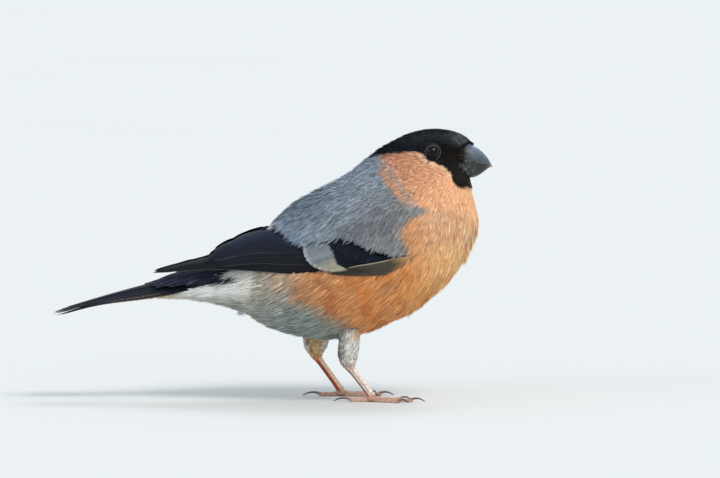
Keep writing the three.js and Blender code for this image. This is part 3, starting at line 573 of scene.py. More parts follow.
def tufts(point, t, a, lie, length, width, count, depth, barb, rng, loose=0.09, loose_lift=(0.2, 0.9), clump=0.25,
          height=0.0, curl=0.0):
    """Fans of barbs that start at the skin under each place and end at the plumage surface."""
    n_f = len(t)
    p0, n0, pt, pa = frame_of(point, t, a)
    d0 = lie(p0, n0)
    turn = rng.normal(0, 0.06, n_f)
    s0 = np.cross(n0, d0)
    d0 = unit(d0 + s0 * turn[:, None])
    s0 = np.cross(n0, d0)
    (ta, aa), (ts, as_) = steps_of(pt, pa, d0, s0)
    half = length * 0.5
    t1, a1 = t + ta * half, a + aa * half
    p1, n1, pt1, pa1 = frame_of(point, t1, a1)
    d1 = lie(p1, n1)
    s1 = np.cross(n1, d1)
    d1 = unit(d1 + s1 * turn[:, None])
    s1 = np.cross(n1, d1)
    (ta1, aa1), (ts1, as1) = steps_of(pt1, pa1, d1, s1)
    t2, a2 = t1 + ta1 * half, a1 + aa1 * half
    p2, n2, pt2, pa2 = frame_of(point, t2, a2)
    d2 = lie(p2, n2)
    s2 = np.cross(n2, d2)
    (ta2, aa2), (ts2, as2) = steps_of(pt2, pa2, d2, s2)

    f = np.repeat(np.arange(n_f), count)
    m = len(f)
    q = np.concatenate([(np.arange(c) + 0.5) / c * 2 - 1 for c in count]) if np.ndim(count) else None
    q = q + rng.uniform(-0.5, 0.5, m) * 1.6 / np.repeat(count, count)
    q = np.clip(q, -1.05, 1.05)
    L, W, D = length[f], width[f], depth[f]
    up = rng.normal(0, 0.06, n_f)[f] * D + (height[f] if np.ndim(height) else height)
    stray = rng.random(m) < loose
    lift = np.where(stray, rng.uniform(*loose_lift, m), 0.0) * np.clip(L / 5.0, 0.25, 1.3)
    own = rng.normal(0, 0.05, m)
    tip_q = q * (1 - clump * rng.random(n_f)[f])
    ts_root, tm_s, tt_s = 0.10 * W * q, (0.40 * q + own * 0.25) * W, (0.5 * tip_q + own * 0.6) * W
    tm_a = -0.05 * L * q * q + rng.normal(0, 0.03, m) * L
    tt_a = (-0.24 * q * q + rng.normal(0, 0.075, m)) * L
    root = point(t[f] + ts[f] * ts_root, a[f] + as_[f] * ts_root, -D)
    tm, am = t1[f] + ta1[f] * tm_a + ts1[f] * tm_s, a1[f] + aa1[f] * tm_a + as1[f] * tm_s
    mid = point(tm, am, -0.30 * D + up * 0.7 + 0.35 * lift)
    tt, at = t2[f] + ta2[f] * tt_a + ts2[f] * tt_s, a2[f] + aa2[f] * tt_a + as2[f] * tt_s
    tip = point(tt, at, -0.02 * D + up + lift + curl * L)
    along = unit(tip - root)
    across = unit(np.cross(n1[f], along))
    roll = rng.normal(0, 0.38, m)
    across = across * np.cos(roll)[:, None] + n1[f] * np.sin(roll)[:, None]
    wide = barb[f] * rng.uniform(0.75, 1.25, m)
    return dict(f=f, q=q, root=root, mid=mid, tip=tip, across=across, n=n1[f], wide=wide, L=L, stray=stray,
                t=t[f], a=a[f], place=lerp(mid, tip, 0.55))


def strand_colours(base, streak, pale, rng, f, n_f, root_dark=0.5, q=None, level=None):
    """Colours at the root, middle and tip of every barb from the colour of its place. Neighbouring barbs of one feather
    share some of their tone, which makes the fine streaks of the plumage; level is how light its pale tips are."""
    m = len(base)
    feather = rng.normal(0, 1, n_f)[f] * 0.09
    tone = rng.normal(0, 1, m)
    level = np.full(m, 0.36) if level is None else level
    white = (rng.random(m) < 0.30 + 0.25 * pale) * rng.uniform(0.1, 1.0, m) * pale
    if q is not None:
        lock = f * 9 + np.clip(np.floor((q + 1.05) * 4.2), 0, 8).astype(int)
        shared = rng.normal(0, 1, n_f * 9)[lock]
        tone = 0.78 * tone + 0.46 * shared
        light = rng.random(n_f * 9)[lock]
        white = np.maximum(white * 0.7, (light < 0.12 + 0.20 * pale) * light / 0.3 * pale)
    bright = np.exp(tone * streak * 0.42 + feather)[:, None]
    bright = np.clip(bright, 0.42, 1.9)
    mid = base * bright
    mean = mid.mean(1, keepdims=True)
    lv = level[:, None]
    tip = lerp(mid, np.maximum(mid, 0.62 * mid + lv), (white * 0.60)[:, None])
    mid = lerp(mid, np.maximum(mid, 0.7 * mid + 0.72 * lv), (white * 0.42)[:, None])
    root = lerp(mid, mean * 0.8, 0.5) * (root_dark[:, None] if np.ndim(root_dark) else root_dark)
    return np.clip(root, 0, 0.95), np.clip(mid, 0, 0.95), np.clip(tip, 0, 0.95)


def coat_pieces(name, g, colours, keep, patch_at, material, most=46000, lift=None):
    """Makes objects of under 200,000 triangles from barbs; each tuft's patch of the unwrap is 0.003 across."""
    idx = np.nonzero(keep)[0]
    parts = int(math.ceil(len(idx) / most))
    # parts follow the body so that each covers one stretch of it
    order = idx[np.argsort(g["t"][idx], kind="stable")]
    made = []
    for k in range(parts):
        i = order[k * len(order) // parts:(k + 1) * len(order) // parts]
        u, v = patch_at(g["t"][i], g["a"][i])
        base = np.stack([u, v], -1)
        q = g["q"][i] * 0.0013
        up = np.array([0, 0.0015])
        zero = np.zeros(len(i))
        side = np.stack([np.full(len(i), 0.00012), zero], -1)
        at = lambda along, s: base + np.stack([q * s, np.full(len(i), along)], -1)
        verts, faces, col, uv = barb_mesh(g["root"][i], g["mid"][i], g["tip"][i], g["across"][i],
                                          g["n"][i] * 0.03, g["wide"][i], [c[i] for c in colours],
                                          (at(-0.0014, 0.5), at(0.0, 0.9), at(0.0014, 1.0), side))
        ob = make(name if parts == 1 else f"{name}_{k + 1}", verts, faces, material, uv, col, shade=False)
        made.append(ob)
    return made


# ------------------------------------------------------------------------------------------------ materials
def material(name, roughness=0.6, specular=0.5, sheen=0.0, coat=0.0, coat_rough=0.1, colour=(0.5, 0.5, 0.5), attribute=None,
             tint=0.0, tint_scale=400.0, bump=0.0, bump_scale=2000.0, bump_kind="NOISE", stretch=(1, 1, 1), rough_vary=0.0,
             sheen_rough=0.5, diffuse_rough=0.0, subsurface=0.0, ior=1.5, sheen_tint=(1, 1, 1), spec_tint=None, extra=None):
    """A node material: colour from the mesh's own marking attribute or a named colour, varied by noise, with relief."""
    mat = bpy.data.materials.new(name)
    mat.use_nodes = True
    nt = mat.node_tree
    nodes, links = nt.nodes, nt.links
    bsdf = nodes["Principled BSDF"]
    s = bsdf.inputs
    s["Roughness"].default_value = roughness
    s["Specular IOR Level"].default_value = specular
    s["IOR"].default_value = ior
    s["Sheen Weight"].default_value = sheen
    s["Sheen Roughness"].default_value = sheen_rough
    s["Sheen Tint"].default_value = (*sheen_tint, 1)
    if spec_tint:
        s["Specular Tint"].default_value = (*spec_tint, 1)
    s["Coat Weight"].default_value = coat
    s["Coat Roughness"].default_value = coat_rough
    if "Diffuse Roughness" in s:
        s["Diffuse Roughness"].default_value = diffuse_rough
    if subsurface:
        s["Subsurface Weight"].default_value = subsurface
        s["Subsurface Radius"].default_value = (1.0, 0.4, 0.25)
        s["Subsurface Scale"].default_value = 0.0012
    coords = nodes.new("ShaderNodeTexCoord")
    mapping = nodes.new("ShaderNodeMapping")
    mapping.inputs["Scale"].default_value = stretch
    links.new(coords.outputs["Object"], mapping.inputs["Vector"])
    if attribute:
        source = nodes.new("ShaderNodeAttribute")
        source.attribute_name = attribute
        out = source.outputs["Color"]
    else:
        source = nodes.new("ShaderNodeRGB")
        source.outputs[0].default_value = (*colour, 1)
        out = source.outputs[0]
    if tint:
        noise = nodes.new("ShaderNodeTexNoise")
        noise.inputs["Scale"].default_value = tint_scale
        noise.inputs["Detail"].default_value = 3
        links.new(mapping.outputs[0], noise.inputs["Vector"])
        ramp = nodes.new("ShaderNodeMapRange")
        ramp.inputs["To Min"].default_value = 1 - tint
        ramp.inputs["To Max"].default_value = 1 + tint
        ramp.inputs["From Min"].default_value = 0.25
        ramp.inputs["From Max"].default_value = 0.75
        links.new(noise.outputs["Fac"], ramp.inputs["Value"])
        scale = nodes.new("ShaderNodeVectorMath")
        scale.operation = "SCALE"
        links.new(out, scale.inputs[0])
        links.new(ramp.outputs[0], scale.inputs["Scale"])
        out = scale.outputs[0]
        if rough_vary:
            r = nodes.new("ShaderNodeMapRange")
            r.inputs["To Min"].default_value = roughness - rough_vary
            r.inputs["To Max"].default_value = roughness + rough_vary
            r.inputs["From Min"].default_value = 0.25
            r.inputs["From Max"].default_value = 0.75
            links.new(noise.outputs["Fac"], r.inputs["Value"])
            links.new(r.outputs[0], s["Roughness"])
    links.new(out, s["Base Color"])
    if bump:
        tex = nodes.new({"NOISE": "ShaderNodeTexNoise", "WAVE": "ShaderNodeTexWave", "VORONOI": "ShaderNodeTexVoronoi"}[bump_kind])
        tex.inputs["Scale"].default_value = bump_scale
        links.new(mapping.outputs[0], tex.inputs["Vector"])
        node = nodes.new("ShaderNodeBump")
        node.inputs["Strength"].default_value = bump
        node.inputs["Distance"].default_value = 0.0001
        links.new(tex.outputs["Distance" if bump_kind == "VORONOI" else "Fac"], node.inputs["Height"])
        links.new(node.outputs[0], s["Normal"])
    if extra:
        extra(nodes, links, bsdf, out, coords)
    return mat


COAT_DARK = material("plumage_black", roughness=0.62, specular=0.09, sheen=0.0, spec_tint=(0.84, 0.92, 1.0), attribute="Col", tint=0.06,
                     tint_scale=900, diffuse_rough=0.3)
COAT = material("plumage", roughness=0.78, specular=0.18, sheen=0.10, sheen_rough=0.6, attribute="Col", tint=0.06, tint_scale=900,
                diffuse_rough=0.6)
SKIN = material("skin_under_plumage", roughness=0.9, specular=0.1, attribute="Col", tint=0.12, tint_scale=1500, bump=0.4,
                bump_scale=2500)


# ------------------------------------------------------------------------------------------------ thighs
LEGS = {
    "right": dict(side=-1, slim=0.95, hip=(24.9, 9.6, 25.0), ankle=(25.0, 10.6, 11.3), joint=(32.5, 11.8, 1.7), heading=4),
    "left": dict(side=1, slim=1.03, hip=(13.8, 9.6, 25.0), ankle=(14.2, 10.6, 13.2), joint=(22.4, 11.8, 1.7), heading=3),
}
THIGH = dict(top=(3.6, 2.2), middle=(3.5, 3.0), ankle=(1.8, 1.6))


def leg_place(leg, key):
    x, y, z = leg[key]
    return np.array([x, leg["side"] * y, z])


def thigh_point(leg):
    hip, ankle = leg_place(leg, "hip"), leg_place(leg, "ankle")
    axis = (ankle - hip) / np.linalg.norm(ankle - hip)
    across = unit(np.array([0, 1.0, 0]) - axis[1] * axis)
    fore = np.cross(across, axis)

    def point(u, a, h=0.0):
        c = np.clip(u, -0.05, 1.0)
        late = np.maximum(0, (c - 0.45) / 0.55)
        w = [lerp(lerp(THIGH["top"][i], THIGH["middle"][i], np.clip(c / 0.45, 0, 1)), THIGH["ankle"][i], late**1.7) for i in (0, 1)]
        past = np.maximum(0, u - 1.0)
        base = hip + (ankle - hip) * u[:, None]
        close = np.exp(-past * 5)
        f = np.cos(a) * (w[0] * leg["slim"] * close + h)
        s = np.sin(a) * (w[1] * close + h)
        return base + fore * f[:, None] + across * s[:, None]

    return point


# ------------------------------------------------------------------------------------------------ skin
def skin_depth(x, z):
    """How far the skin lies inside the plumage."""
    head = smooth(x * 0.9 + z * 0.45, 66, 84)
    return lerp(1.55, 0.62, head)


def build_skin():
    nt, na = 150, 96
    t, a = np.meshgrid(np.linspace(0.0, 1.0, nt), np.linspace(0, TAU, na, endpoint=False), indexing="ij")
    t, a = t.ravel(), a.ravel()
    p = body_point(t, a)
    d = skin_depth(p[:, 0], p[:, 2])
    r = body_at(t)
    d = np.minimum(d, 0.35 * np.minimum(r[:, 4], np.hypot(r[:, 2] - r[:, 0], r[:, 3] - r[:, 1]) / 2))
    p = body_point(t, a, -d)
    # the skin stops behind the base of the bill
    face = smooth(p[:, 2], 73.0, 74.4) * smooth(84.8 - p[:, 2], 0, 1.2)
    p[:, 0] = lerp(p[:, 0], np.minimum(p[:, 0], 60.7 + 0.25 * (p[:, 0] - 60.7)), face)
    quads, fans = tube_faces(nt, na)
    ends = np.array([p[:na].mean(0), p[-na:].mean(0)])
    verts = [np.vstack([p, ends])]
    faces = [np.vstack([quads[:, [0, 1, 2]], quads[:, [0, 2, 3]], fans])]
    uvs = [np.vstack([np.stack([0.04 + 0.90 * t, 0.02 + 0.72 * a / TAU], -1), [[0.03, 0.4], [0.95, 0.4]]])]
    base = len(verts[0])
    for side, leg in LEGS.items():
        point = thigh_point(leg)
        nu, nb = 26, 28
        u, b = np.meshgrid(np.linspace(-0.05, 1.0, nu), np.linspace(0, TAU, nb, endpoint=False), indexing="ij")
        u, b = u.ravel(), b.ravel()
        q = point(u, b, np.full(u.shape, -0.7))
        quads, fans = tube_faces(nu, nb)
        ends = np.array([q[:nb].mean(0), q[-nb:].mean(0)])
        verts.append(np.vstack([q, ends]))
        faces.append(np.vstack([quads[:, [0, 1, 2]], quads[:, [0, 2, 3]], fans]) + base)
        v0 = 0.78 if side == "right" else 0.89
        uvs.append(np.vstack([np.stack([0.04 + 0.40 * (u + 0.05), v0 + 0.09 * b / TAU], -1), [[0.03, v0 + 0.04], [0.47, v0 + 0.04]]]))
        base += len(verts[-1])
    verts, faces, uvs = np.vstack(verts), np.vstack(faces), np.vstack(uvs)
    raw = make("skin_raw", verts, faces, SKIN, shade=True)
    bpy.context.view_layer.objects.active = raw
    m = raw.modifiers.new("one_skin", "REMESH")
    m.mode = "VOXEL"
    m.voxel_size = 0.62 * MM
    s = raw.modifiers.new("even", "SMOOTH")
    s.iterations = 4
    s.factor = 0.5
    dg = bpy.context.evaluated_depsgraph_get()
    dg.update()
    done = bpy.data.meshes.new_from_object(raw.evaluated_get(dg))
    nv = len(done.vertices)
    co = np.zeros(nv * 3, np.float32)
    done.vertices.foreach_get("co", co)
    co = co.reshape(-1, 3).astype(float) / MM
    sizes = np.zeros(len(done.polygons), np.int32)
    done.polygons.foreach_get("loop_total", sizes)
    loops = np.zeros(len(done.loops), np.int32)
    done.loops.foreach_get("vertex_index", loops)
    quads = loops.reshape(-1, 4) if (sizes == 4).all() else None
    bpy.data.objects.remove(raw)
    tree = KDTree(len(verts))
    for i, v in enumerate(verts.tolist()):
        tree.insert(v, i)
    tree.balance()
    near = np.array([tree.find(v)[1] for v in co.tolist()])
    uv = uvs[near]
    normal = np.zeros((nv, 3))
    fn = np.cross(co[quads[:, 2]] - co[quads[:, 0]], co[quads[:, 3]] - co[quads[:, 1]])
    for k in range(4):
        np.add.at(normal, quads[:, k], fn)
    normal = unit(normal)
    col, _, _, _ = markings(co[:, 0], co[:, 1], seen(co), normal[:, 2])
    thigh = co[:, 2] < 22.0
    col[thigh] = lerp(col[thigh], linear((150, 138, 118)), 0.7)
    # loops across the seam of the unwrap keep one side's value
    per = uv[quads]
    for island, (lo, hi) in {"body": (0.0, 0.76), "right": (0.77, 0.88), "left": (0.885, 1.0)}.items():
        on = (per[:, :, 1].mean(1) >= lo) & (per[:, :, 1].mean(1) <= hi)
        span = per[:, :, 1].max(1) - per[:, :, 1].min(1)
        wide = on & (span > 0.25 * (hi - lo))
        per[wide, :, 1] = per[wide][:, :1, 1]
    jump = (per[:, :, 1].max(1) - per[:, :, 1].min(1)) > 0.05
    per[jump] = per[jump][:, :1]
    skin = make("skin", co, quads, SKIN, per.reshape(-1, 2), col * 0.78, shade=True,
                stands_for=("trunk", "neck", "head", "thigh_right", "thigh_left"))
    return skin


skin = build_skin()

# ------------------------------------------------------------------------------------------------ body coat
# Feather length in mm at places in the side view
LENGTHS = [(64, 83, 1.5), (60, 80, 1.2), (57, 76, 1.2), (52, 80, 1.1), (54, 85, 1.9), (46, 85, 2.5), (48, 76, 2.2), (42, 76, 3.2),
           (38, 80, 3.2), (60, 70, 2.4), (52, 67, 4.0), (34, 76, 4.2), (28, 72, 5.6), (16, 64, 6.4), (4, 58, 6.2), (60, 55, 5.2),
           (44, 60, 5.4), (50, 42, 6.4), (34, 34, 7.0), (18, 30, 7.6), (4, 34, 7.8), (-12, 33, 7.6), (-28, 34, 6.4), (-36, 34, 5.0)]


def length_at(p):
    return blobs([(a, b) for a, b, _ in LENGTHS], p[:, 0], p[:, 2], 4.5) @ np.array([c for _, _, c in LENGTHS])


def eye_flow(p, n, d):
    """Turns the lie of small face feathers outwards round the eye."""
    r, out = around_eye(p)
    k = (smooth(5.6 - r, 0, 3.0) * (np.abs(p[:, 1]) > 5) * 0.85)[:, None]
    out = out - (out * n).sum(1, keepdims=True) * n
    return unit(lerp(d, unit(out) + 0.25 * d, k))


def body_lie(p, n):
    return eye_flow(p, n, lie_of(p, n))


def bill_gap(p):
    """Where the bill itself comes out of the face."""
    return (p[:, 0] > 61.2) & (np.abs(p[:, 1]) < 5.4) & (p[:, 2] < 83.9) & (p[:, 2] > 73.4)


def build_body_coat():
    rng = rng_for("body coat")

    def spacing(p, n):
        s = 0.265 * length_at(p) ** 0.72
        r, _ = around_eye(p)
        hidden = signed_distance(p[:, 0], seen(p), WING_OUTLINE)
        skip = (r < EYE["opening"] + 0.15) & (np.abs(p[:, 1]) > 6)
        deep = (hidden > 4.2) & ((p[:, 0] > 5) | (np.abs(p[:, 1]) > 8.5)) & (np.abs(p[:, 1]) > 3)
        under_tail = (p[:, 0] < -13) & (n[:, 2] > 0.55) & (p[:, 0] > -36)
        return np.where(skip | deep | under_tail, 0.0, s)

    t, a = scatter(body_point, (0.004, 0.994), spacing, rng)
    p, n, _, _ = frame_of(body_point, t, a)
    L = length_at(p) * rng.uniform(0.85, 1.15, len(t))
    W = L * lerp(0.34, 0.46, smooth(L, 2.5, 5.5))
    W = W * (1 - 0.22 * smooth(p[:, 0], 42, 48) * smooth(p[:, 2], 62, 68))
    depth = np.minimum(skin_depth(p[:, 0], p[:, 2]) * 0.92, 0.34 * body_at(t)[:, 4])
    count = np.clip((7.0 + 2.0 * L), 8, 20).astype(int)
    barb = np.clip(0.085 + 0.028 * L, 0.10, 0.28)
    back = smooth(n[:, 2], 0.35, 0.75) * smooth(p[:, 0], -6, 2) * smooth(40 - p[:, 0], 0, 8)
    chest = smooth(p[:, 0], 36, 46) * smooth(66 - p[:, 2], 0, 8) * smooth(0.35 - n[:, 2], 0, 0.4)
    vent = smooth(4 - p[:, 0], 0, 8) * smooth(p[:, 0], -32, -24) * smooth(-n[:, 2], 0.1, 0.5)
    low = -(0.62 * back + 0.55 * chest + 0.6 * vent)
    strip = smooth(seen(p), 39.4, 40.6) * smooth(-p[:, 0], 9, 13) * smooth(24 + p[:, 0], 0, 4) * (np.abs(p[:, 1]) > 3)
    low = low + 1.1 * strip
    g = tufts(body_point, t, a, body_lie, L, W, count, depth, barb, rng, height=low)
    p_root = p[g["f"]]
    root_in = signed_distance(p_root[:, 0], seen(p_root), WING_OUTLINE)
    outside_root = root_in < 0.6
    # barbs from above or before the wing pass over it; the rest stay beneath
    for key, extra, use in (("root", -0.9, outside_root), ("mid", -0.15, outside_root), ("tip", 0.2, outside_root)):
        lifted, inside, flank = over_wing(g[key][use], extra + rng.uniform(0, 0.35, use.sum()))
        g[key][use] = lifted
        if key == "tip":
            tip_in = np.full(len(use), -9.0)
            tip_in[use] = np.where(inside > 0, 0.85 * below_border(lifted[:, 0], seen(lifted)), -9.0)
    finger = rng.uniform(-0.4, 1.9, len(t))[g["f"]] + rng.normal(0, 0.4, len(g["f"]))
    finger = finger - 1.1 * smooth(p_root[:, 0], 17, 23)
    keep = ~(outside_root & (tip_in > finger) & (p_root[:, 0] > -22))
    # round the bend of the wing its own small feathers lie uppermost
    bend = (p_root[:, 0] > 35) & (np.abs(p_root[:, 1]) > 8)
    fade = 2.2 * smooth(g["tip"][:, 0], 42.4, 45.0) * rng.uniform(0, 1, len(p_root))
    over = np.maximum(signed_distance(g["tip"][:, 0], seen(g["tip"]), HAND), signed_distance(g["mid"][:, 0], seen(g["mid"]), HAND))
    keep &= ~(bend & (over > fade + 0.05))
    keep &= ~(bend & (signed_distance(p_root[:, 0], seen(p_root), HAND) > 0.2 + fade))
    # under the wing's lower edge the flank feathers stop short, so that the edge stays clean
    tip_s = signed_distance(g["tip"][:, 0], seen(g["tip"]), WING_OUTLINE)
    mid_s = signed_distance(g["mid"][:, 0], seen(g["mid"]), WING_OUTLINE)
    low_side = (seen(p_root) < 47.0) & (p_root[:, 0] < 37) & (p_root[:, 0] > -26) & (np.abs(p_root[:, 1]) > 3)
    keep &= ~(low_side & ((tip_s > -0.05) | (mid_s > 0.25)) & (seen(g["tip"]) < 46.0))
    between = (p_root[:, 0] < 6) & (np.abs(p_root[:, 1]) < 8.5) & (n[g["f"]][:, 2] > 0.4)
    keep &= ~((root_in > 0.6) & (tip_s > -0.05) & (p_root[:, 0] < 36) & (np.abs(p_root[:, 1]) > 3) & ~between)
    keep &= ~bill_gap(g["tip"])
    r_tip, _ = around_eye(g["tip"])
    r_mid, _ = around_eye(g["mid"])
    keep &= ~(((r_tip < EYE["opening"] + 0.25) | (r_mid < EYE["opening"] + 0.25)) & (np.abs(g["mid"][:, 1]) > 6))
    shoulder = smooth(p_root[:, 0], 32, 36) * smooth(49 - p_root[:, 0], 0, 4) * smooth(p_root[:, 2], 45, 49) * smooth(66 - p_root[:, 2], 0, 6)
    place = g["place"] + rng.normal(0, 0.30, g["place"].shape) * (np.clip(g["L"] / 4, 0.25, 1) * (1 + 2.2 * shoulder))[:, None]
    # a feather that starts beside the eye shows its root, so it takes the colour of that
    r_root, _ = around_eye(p_root)
    own = (smooth(5.2 - r_root, 0, 1.6) * (np.abs(p_root[:, 1]) > 5))[:, None]
    place = lerp(place, lerp(g["root"], g["tip"], 0.3), own)
    black_root = signed_distance(p_root[:, 0], seen(p_root), CAP) > 0.0
    tip_out = signed_distance(g["tip"][:, 0], seen(g["tip"]), CAP) < -0.22
    keep &= ~((own[:, 0] > 0.25) & black_root & tip_out)
    base, streak, pale, cap = markings(place[:, 0], place[:, 1], seen(place), g["n"][:, 2])
    front = smooth(place[:, 0], 54, 62) * cap
    level = lerp(0.34, 0.16, cap) + 0.22 * front
    colours = strand_colours(base, streak, pale, rng, g["f"], len(t), q=g["q"], level=level,
                             root_dark=lerp(0.82, 0.55, smooth(g["L"], 2.0, 5.5)))
    patch = lambda tt, aa: (0.04 + 0.90 * np.clip(tt, 0, 1), 0.02 + 0.72 * (aa % TAU) / TAU)
    x = p_root[:, 0]
    zones = {
        "coat_cap": cap > 0.5,
        "coat_cheek": (x > 44) & (p_root[:, 2] > 68),
        "coat_neck": (x > 33) & (p_root[:, 2] > 56),
        "coat_back": n[g["f"]][:, 2] > 0.0,
        "coat_breast": x > 22,
        "coat_belly": x > -6,
        "coat_undertail": x <= -6,
    }
    left = np.ones(len(x), bool)
    for name, where in zones.items():
        use = keep & left & where
        left &= ~where
        if use.any():
            coat_pieces(name, g, colours, use, patch, COAT_DARK if name == "coat_cap" else COAT)
    print("body feathers", len(t), "barbs", int(keep.sum()))


build_body_coat()


def build_loose_locks():
    """A few breast feathers that stand away from the outline, as soft points down the front and below the breast."""
    rng = rng_for("loose locks")
    t = np.linspace(0.35, 0.95, 900)
    p = body_point(t, np.full(900, math.pi))
    front = t[(p[:, 2] > 47.5) & (p[:, 2] < 58.5)]
    below = t[(p[:, 2] > 28.5) & (p[:, 2] < 32.5) & (p[:, 0] > 40)]
    t = np.concatenate([rng.choice(front, 30), rng.choice(below, 7)])
    a = math.pi + rng.normal(0, 0.16, len(t))
    L = rng.uniform(3.2, 4.8, len(t))
    g = tufts(body_point, t, a, body_lie, L, L * 0.32, np.full(len(t), 9), np.full(len(t), 0.6), np.full(len(t), 0.17), rng, loose=1.0,
              loose_lift=(0.5, 1.5), clump=0.7)
    place = g["place"]
    base, streak, pale, _ = markings(place[:, 0], place[:, 1], seen(place), g["n"][:, 2])
    colours = strand_colours(base * 1.08, streak, pale, rng, g["f"], len(t), q=g["q"], root_dark=0.8)
    patch = lambda tt, aa: (0.04 + 0.90 * np.clip(tt, 0, 1), 0.02 + 0.72 * (aa % TAU) / TAU)
    coat_pieces("coat_loose_locks", g, colours, np.ones(len(g["f"]), bool), patch, COAT)


build_loose_locks()


def thigh_colour_and_painted_light(side, u, ahead, a):
    """The thigh's feather colour, with painted light on the far (left) thigh, which is painted in a lighter, warmer
    tone than the near one against the shade it lies in and carries painted rim light along its front and rear edges:
    ahead runs from -1 at its rear to 1 at its front.
    """
    if side == "right":
        base = lerp(linear((212, 210, 202)), linear((200, 172, 150)), smooth(u, 0.72, 1.0)[:, None])
        base = lerp(base, linear((216, 182, 150)), (0.5 * smooth(ahead, 0.3, 1.0) * smooth(0.5 - u, 0, 0.4))[:, None])
        dark = smooth(-ahead, 0.05, 0.8) * (0.62 + 0.2 * np.sin(a * 9)) * smooth(0.85 - u, 0, 0.2)
        return base * (1 - dark[:, None])
    # far thigh: painted light, a lighter, warmer tone against the shade it lies in
    base = lerp(linear((250, 210, 158)), linear((240, 170, 112)), smooth(u, 0.55, 1.0)[:, None])
    dark = smooth(-ahead, -0.3, 0.6) * (0.36 + 0.25 * np.sin(a * 7)) * smooth(0.8 - u, 0, 0.3)
    base = base * (1 - dark[:, None])
    # painted rim light: near-white along the front and rear edges
    return lerp(base, linear((252, 250, 242)), (0.95 * smooth(np.abs(ahead), 0.66, 0.88) * smooth(0.92 - u, 0, 0.15))[:, None])


def build_thigh_coat():
    rng = rng_for("thigh coat")
    total = 0
    for side, leg in LEGS.items():
        point = thigh_point(leg)
        v0 = 0.78 if side == "right" else 0.89

        def lie(p, n):
            d = np.tile(np.array([[-0.34, 0.0, -1.0]]), (len(p), 1))
            d = d - (d * n).sum(1, keepdims=True) * n
            return unit(d)

        t, a = scatter(point, (0.0, 0.985), lambda p, n: np.full(len(p), 0.62), rng)
        p, n, _, _ = frame_of(point, t, a)
        L = lerp(3.6, 2.2, np.clip(t, 0, 1)) * rng.uniform(0.85, 1.15, len(t))
        rear = smooth(np.cos(a), 0.1, 0.85)
        if side == "right":
            puff = 0.95 * rear * smooth(t, 0.28, 0.6) * smooth(1.0 - t, 0, 0.2)
        else:
            puff = 0.8 * smooth(np.abs(np.cos(a)), 0.2, 0.85) * smooth(t, 0.05, 0.3) * smooth(0.85 - t, 0, 0.3) + 0.5 * rear * smooth(t, 0.45, 0.7) * smooth(1 - t, 0, 0.25)
        g = tufts(point, t, a, lie, L, L * 0.62, np.full(len(t), 8), np.full(len(t), 0.62), np.full(len(t), 0.20), rng, loose=0.10,
                  loose_lift=(0.15, 0.5), height=puff)
        keep = (g["tip"][:, 2] > leg["ankle"][2] - 1.6) & (g["mid"][:, 2] < 23.4)
        base = thigh_colour_and_painted_light(side, np.clip(g["t"], 0, 1), -np.cos(g["a"]), g["a"])
        m = len(base)
        lock = np.exp(rng.normal(0, 0.22, len(t)))[g["f"]]
        base = np.clip(base * lock[:, None], 0, 0.95)
        colours = strand_colours(base, np.full(m, 1.0), np.full(m, 0.6), rng, g["f"], len(t), q=g["q"])
        patch = lambda tt, aa, v0=v0: (0.04 + 0.40 * np.clip(tt + 0.05, 0, 1.05), v0 + 0.09 * (aa % TAU) / TAU)
        coat_pieces(f"coat_thigh_{side}", g, colours, keep, patch, COAT)
        total += int(keep.sum())
        # longer belly strands hang over the top of the thigh
        t, a = scatter(point, (-0.05, 0.20), lambda p, n: np.full(len(p), 0.7), rng)
        L = rng.uniform(2.6, 5.0, len(t))
        g = tufts(point, t, a, lie, L, L * 0.55, np.full(len(t), 9), np.full(len(t), 0.3), np.full(len(t), 0.18), rng, loose=0.25,
                  loose_lift=(0.1, 0.4), height=0.12)
        place = g["place"]
        col, streak, pale, _ = markings(place[:, 0] + 1.0, place[:, 1], np.maximum(seen(place) + 2.0, 23.0), np.zeros(len(place)))
        own = thigh_colour_and_painted_light(side, np.clip(g["t"], 0, 1), -np.cos(g["a"]), g["a"])
        col = lerp(own, col, (0.12 + 0.25 * smooth(-np.cos(g["a"]), 0.2, 1.0))[:, None])
        colours = strand_colours(col, streak + 0.5, pale, rng, g["f"], len(t), q=g["q"])
        coat_pieces(f"coat_skirt_{side}", g, colours, (g["tip"][:, 2] > 18.0) & (g["mid"][:, 2] < 23.2), patch, COAT)
    print("thigh barbs", total)


build_thigh_coat()


# ------------------------------------------------------------------------------------------------ vanes
def side(px, py):
    """A place in the side view, x and seen height in mm, from the drawing's own units of 3.06 to the millimetre."""
    return ((px - 273.0) / 3.06, (399.0 - py) / 3.06)


def bend(points, n):
    """A smooth path of n points through a few."""
    p = np.array(points, float)
    k = np.concatenate([[0], np.cumsum(np.hypot(*np.diff(p, axis=0).T))])
    return Rows(p, k / k[-1])(np.linspace(0, 1, n)), k[-1]


ACROSS = np.array([-1.0, -0.93, -0.75, -0.5, -0.25, -0.08, 0.0, 0.08, 0.25, 0.5, 0.75, 0.93, 1.0])


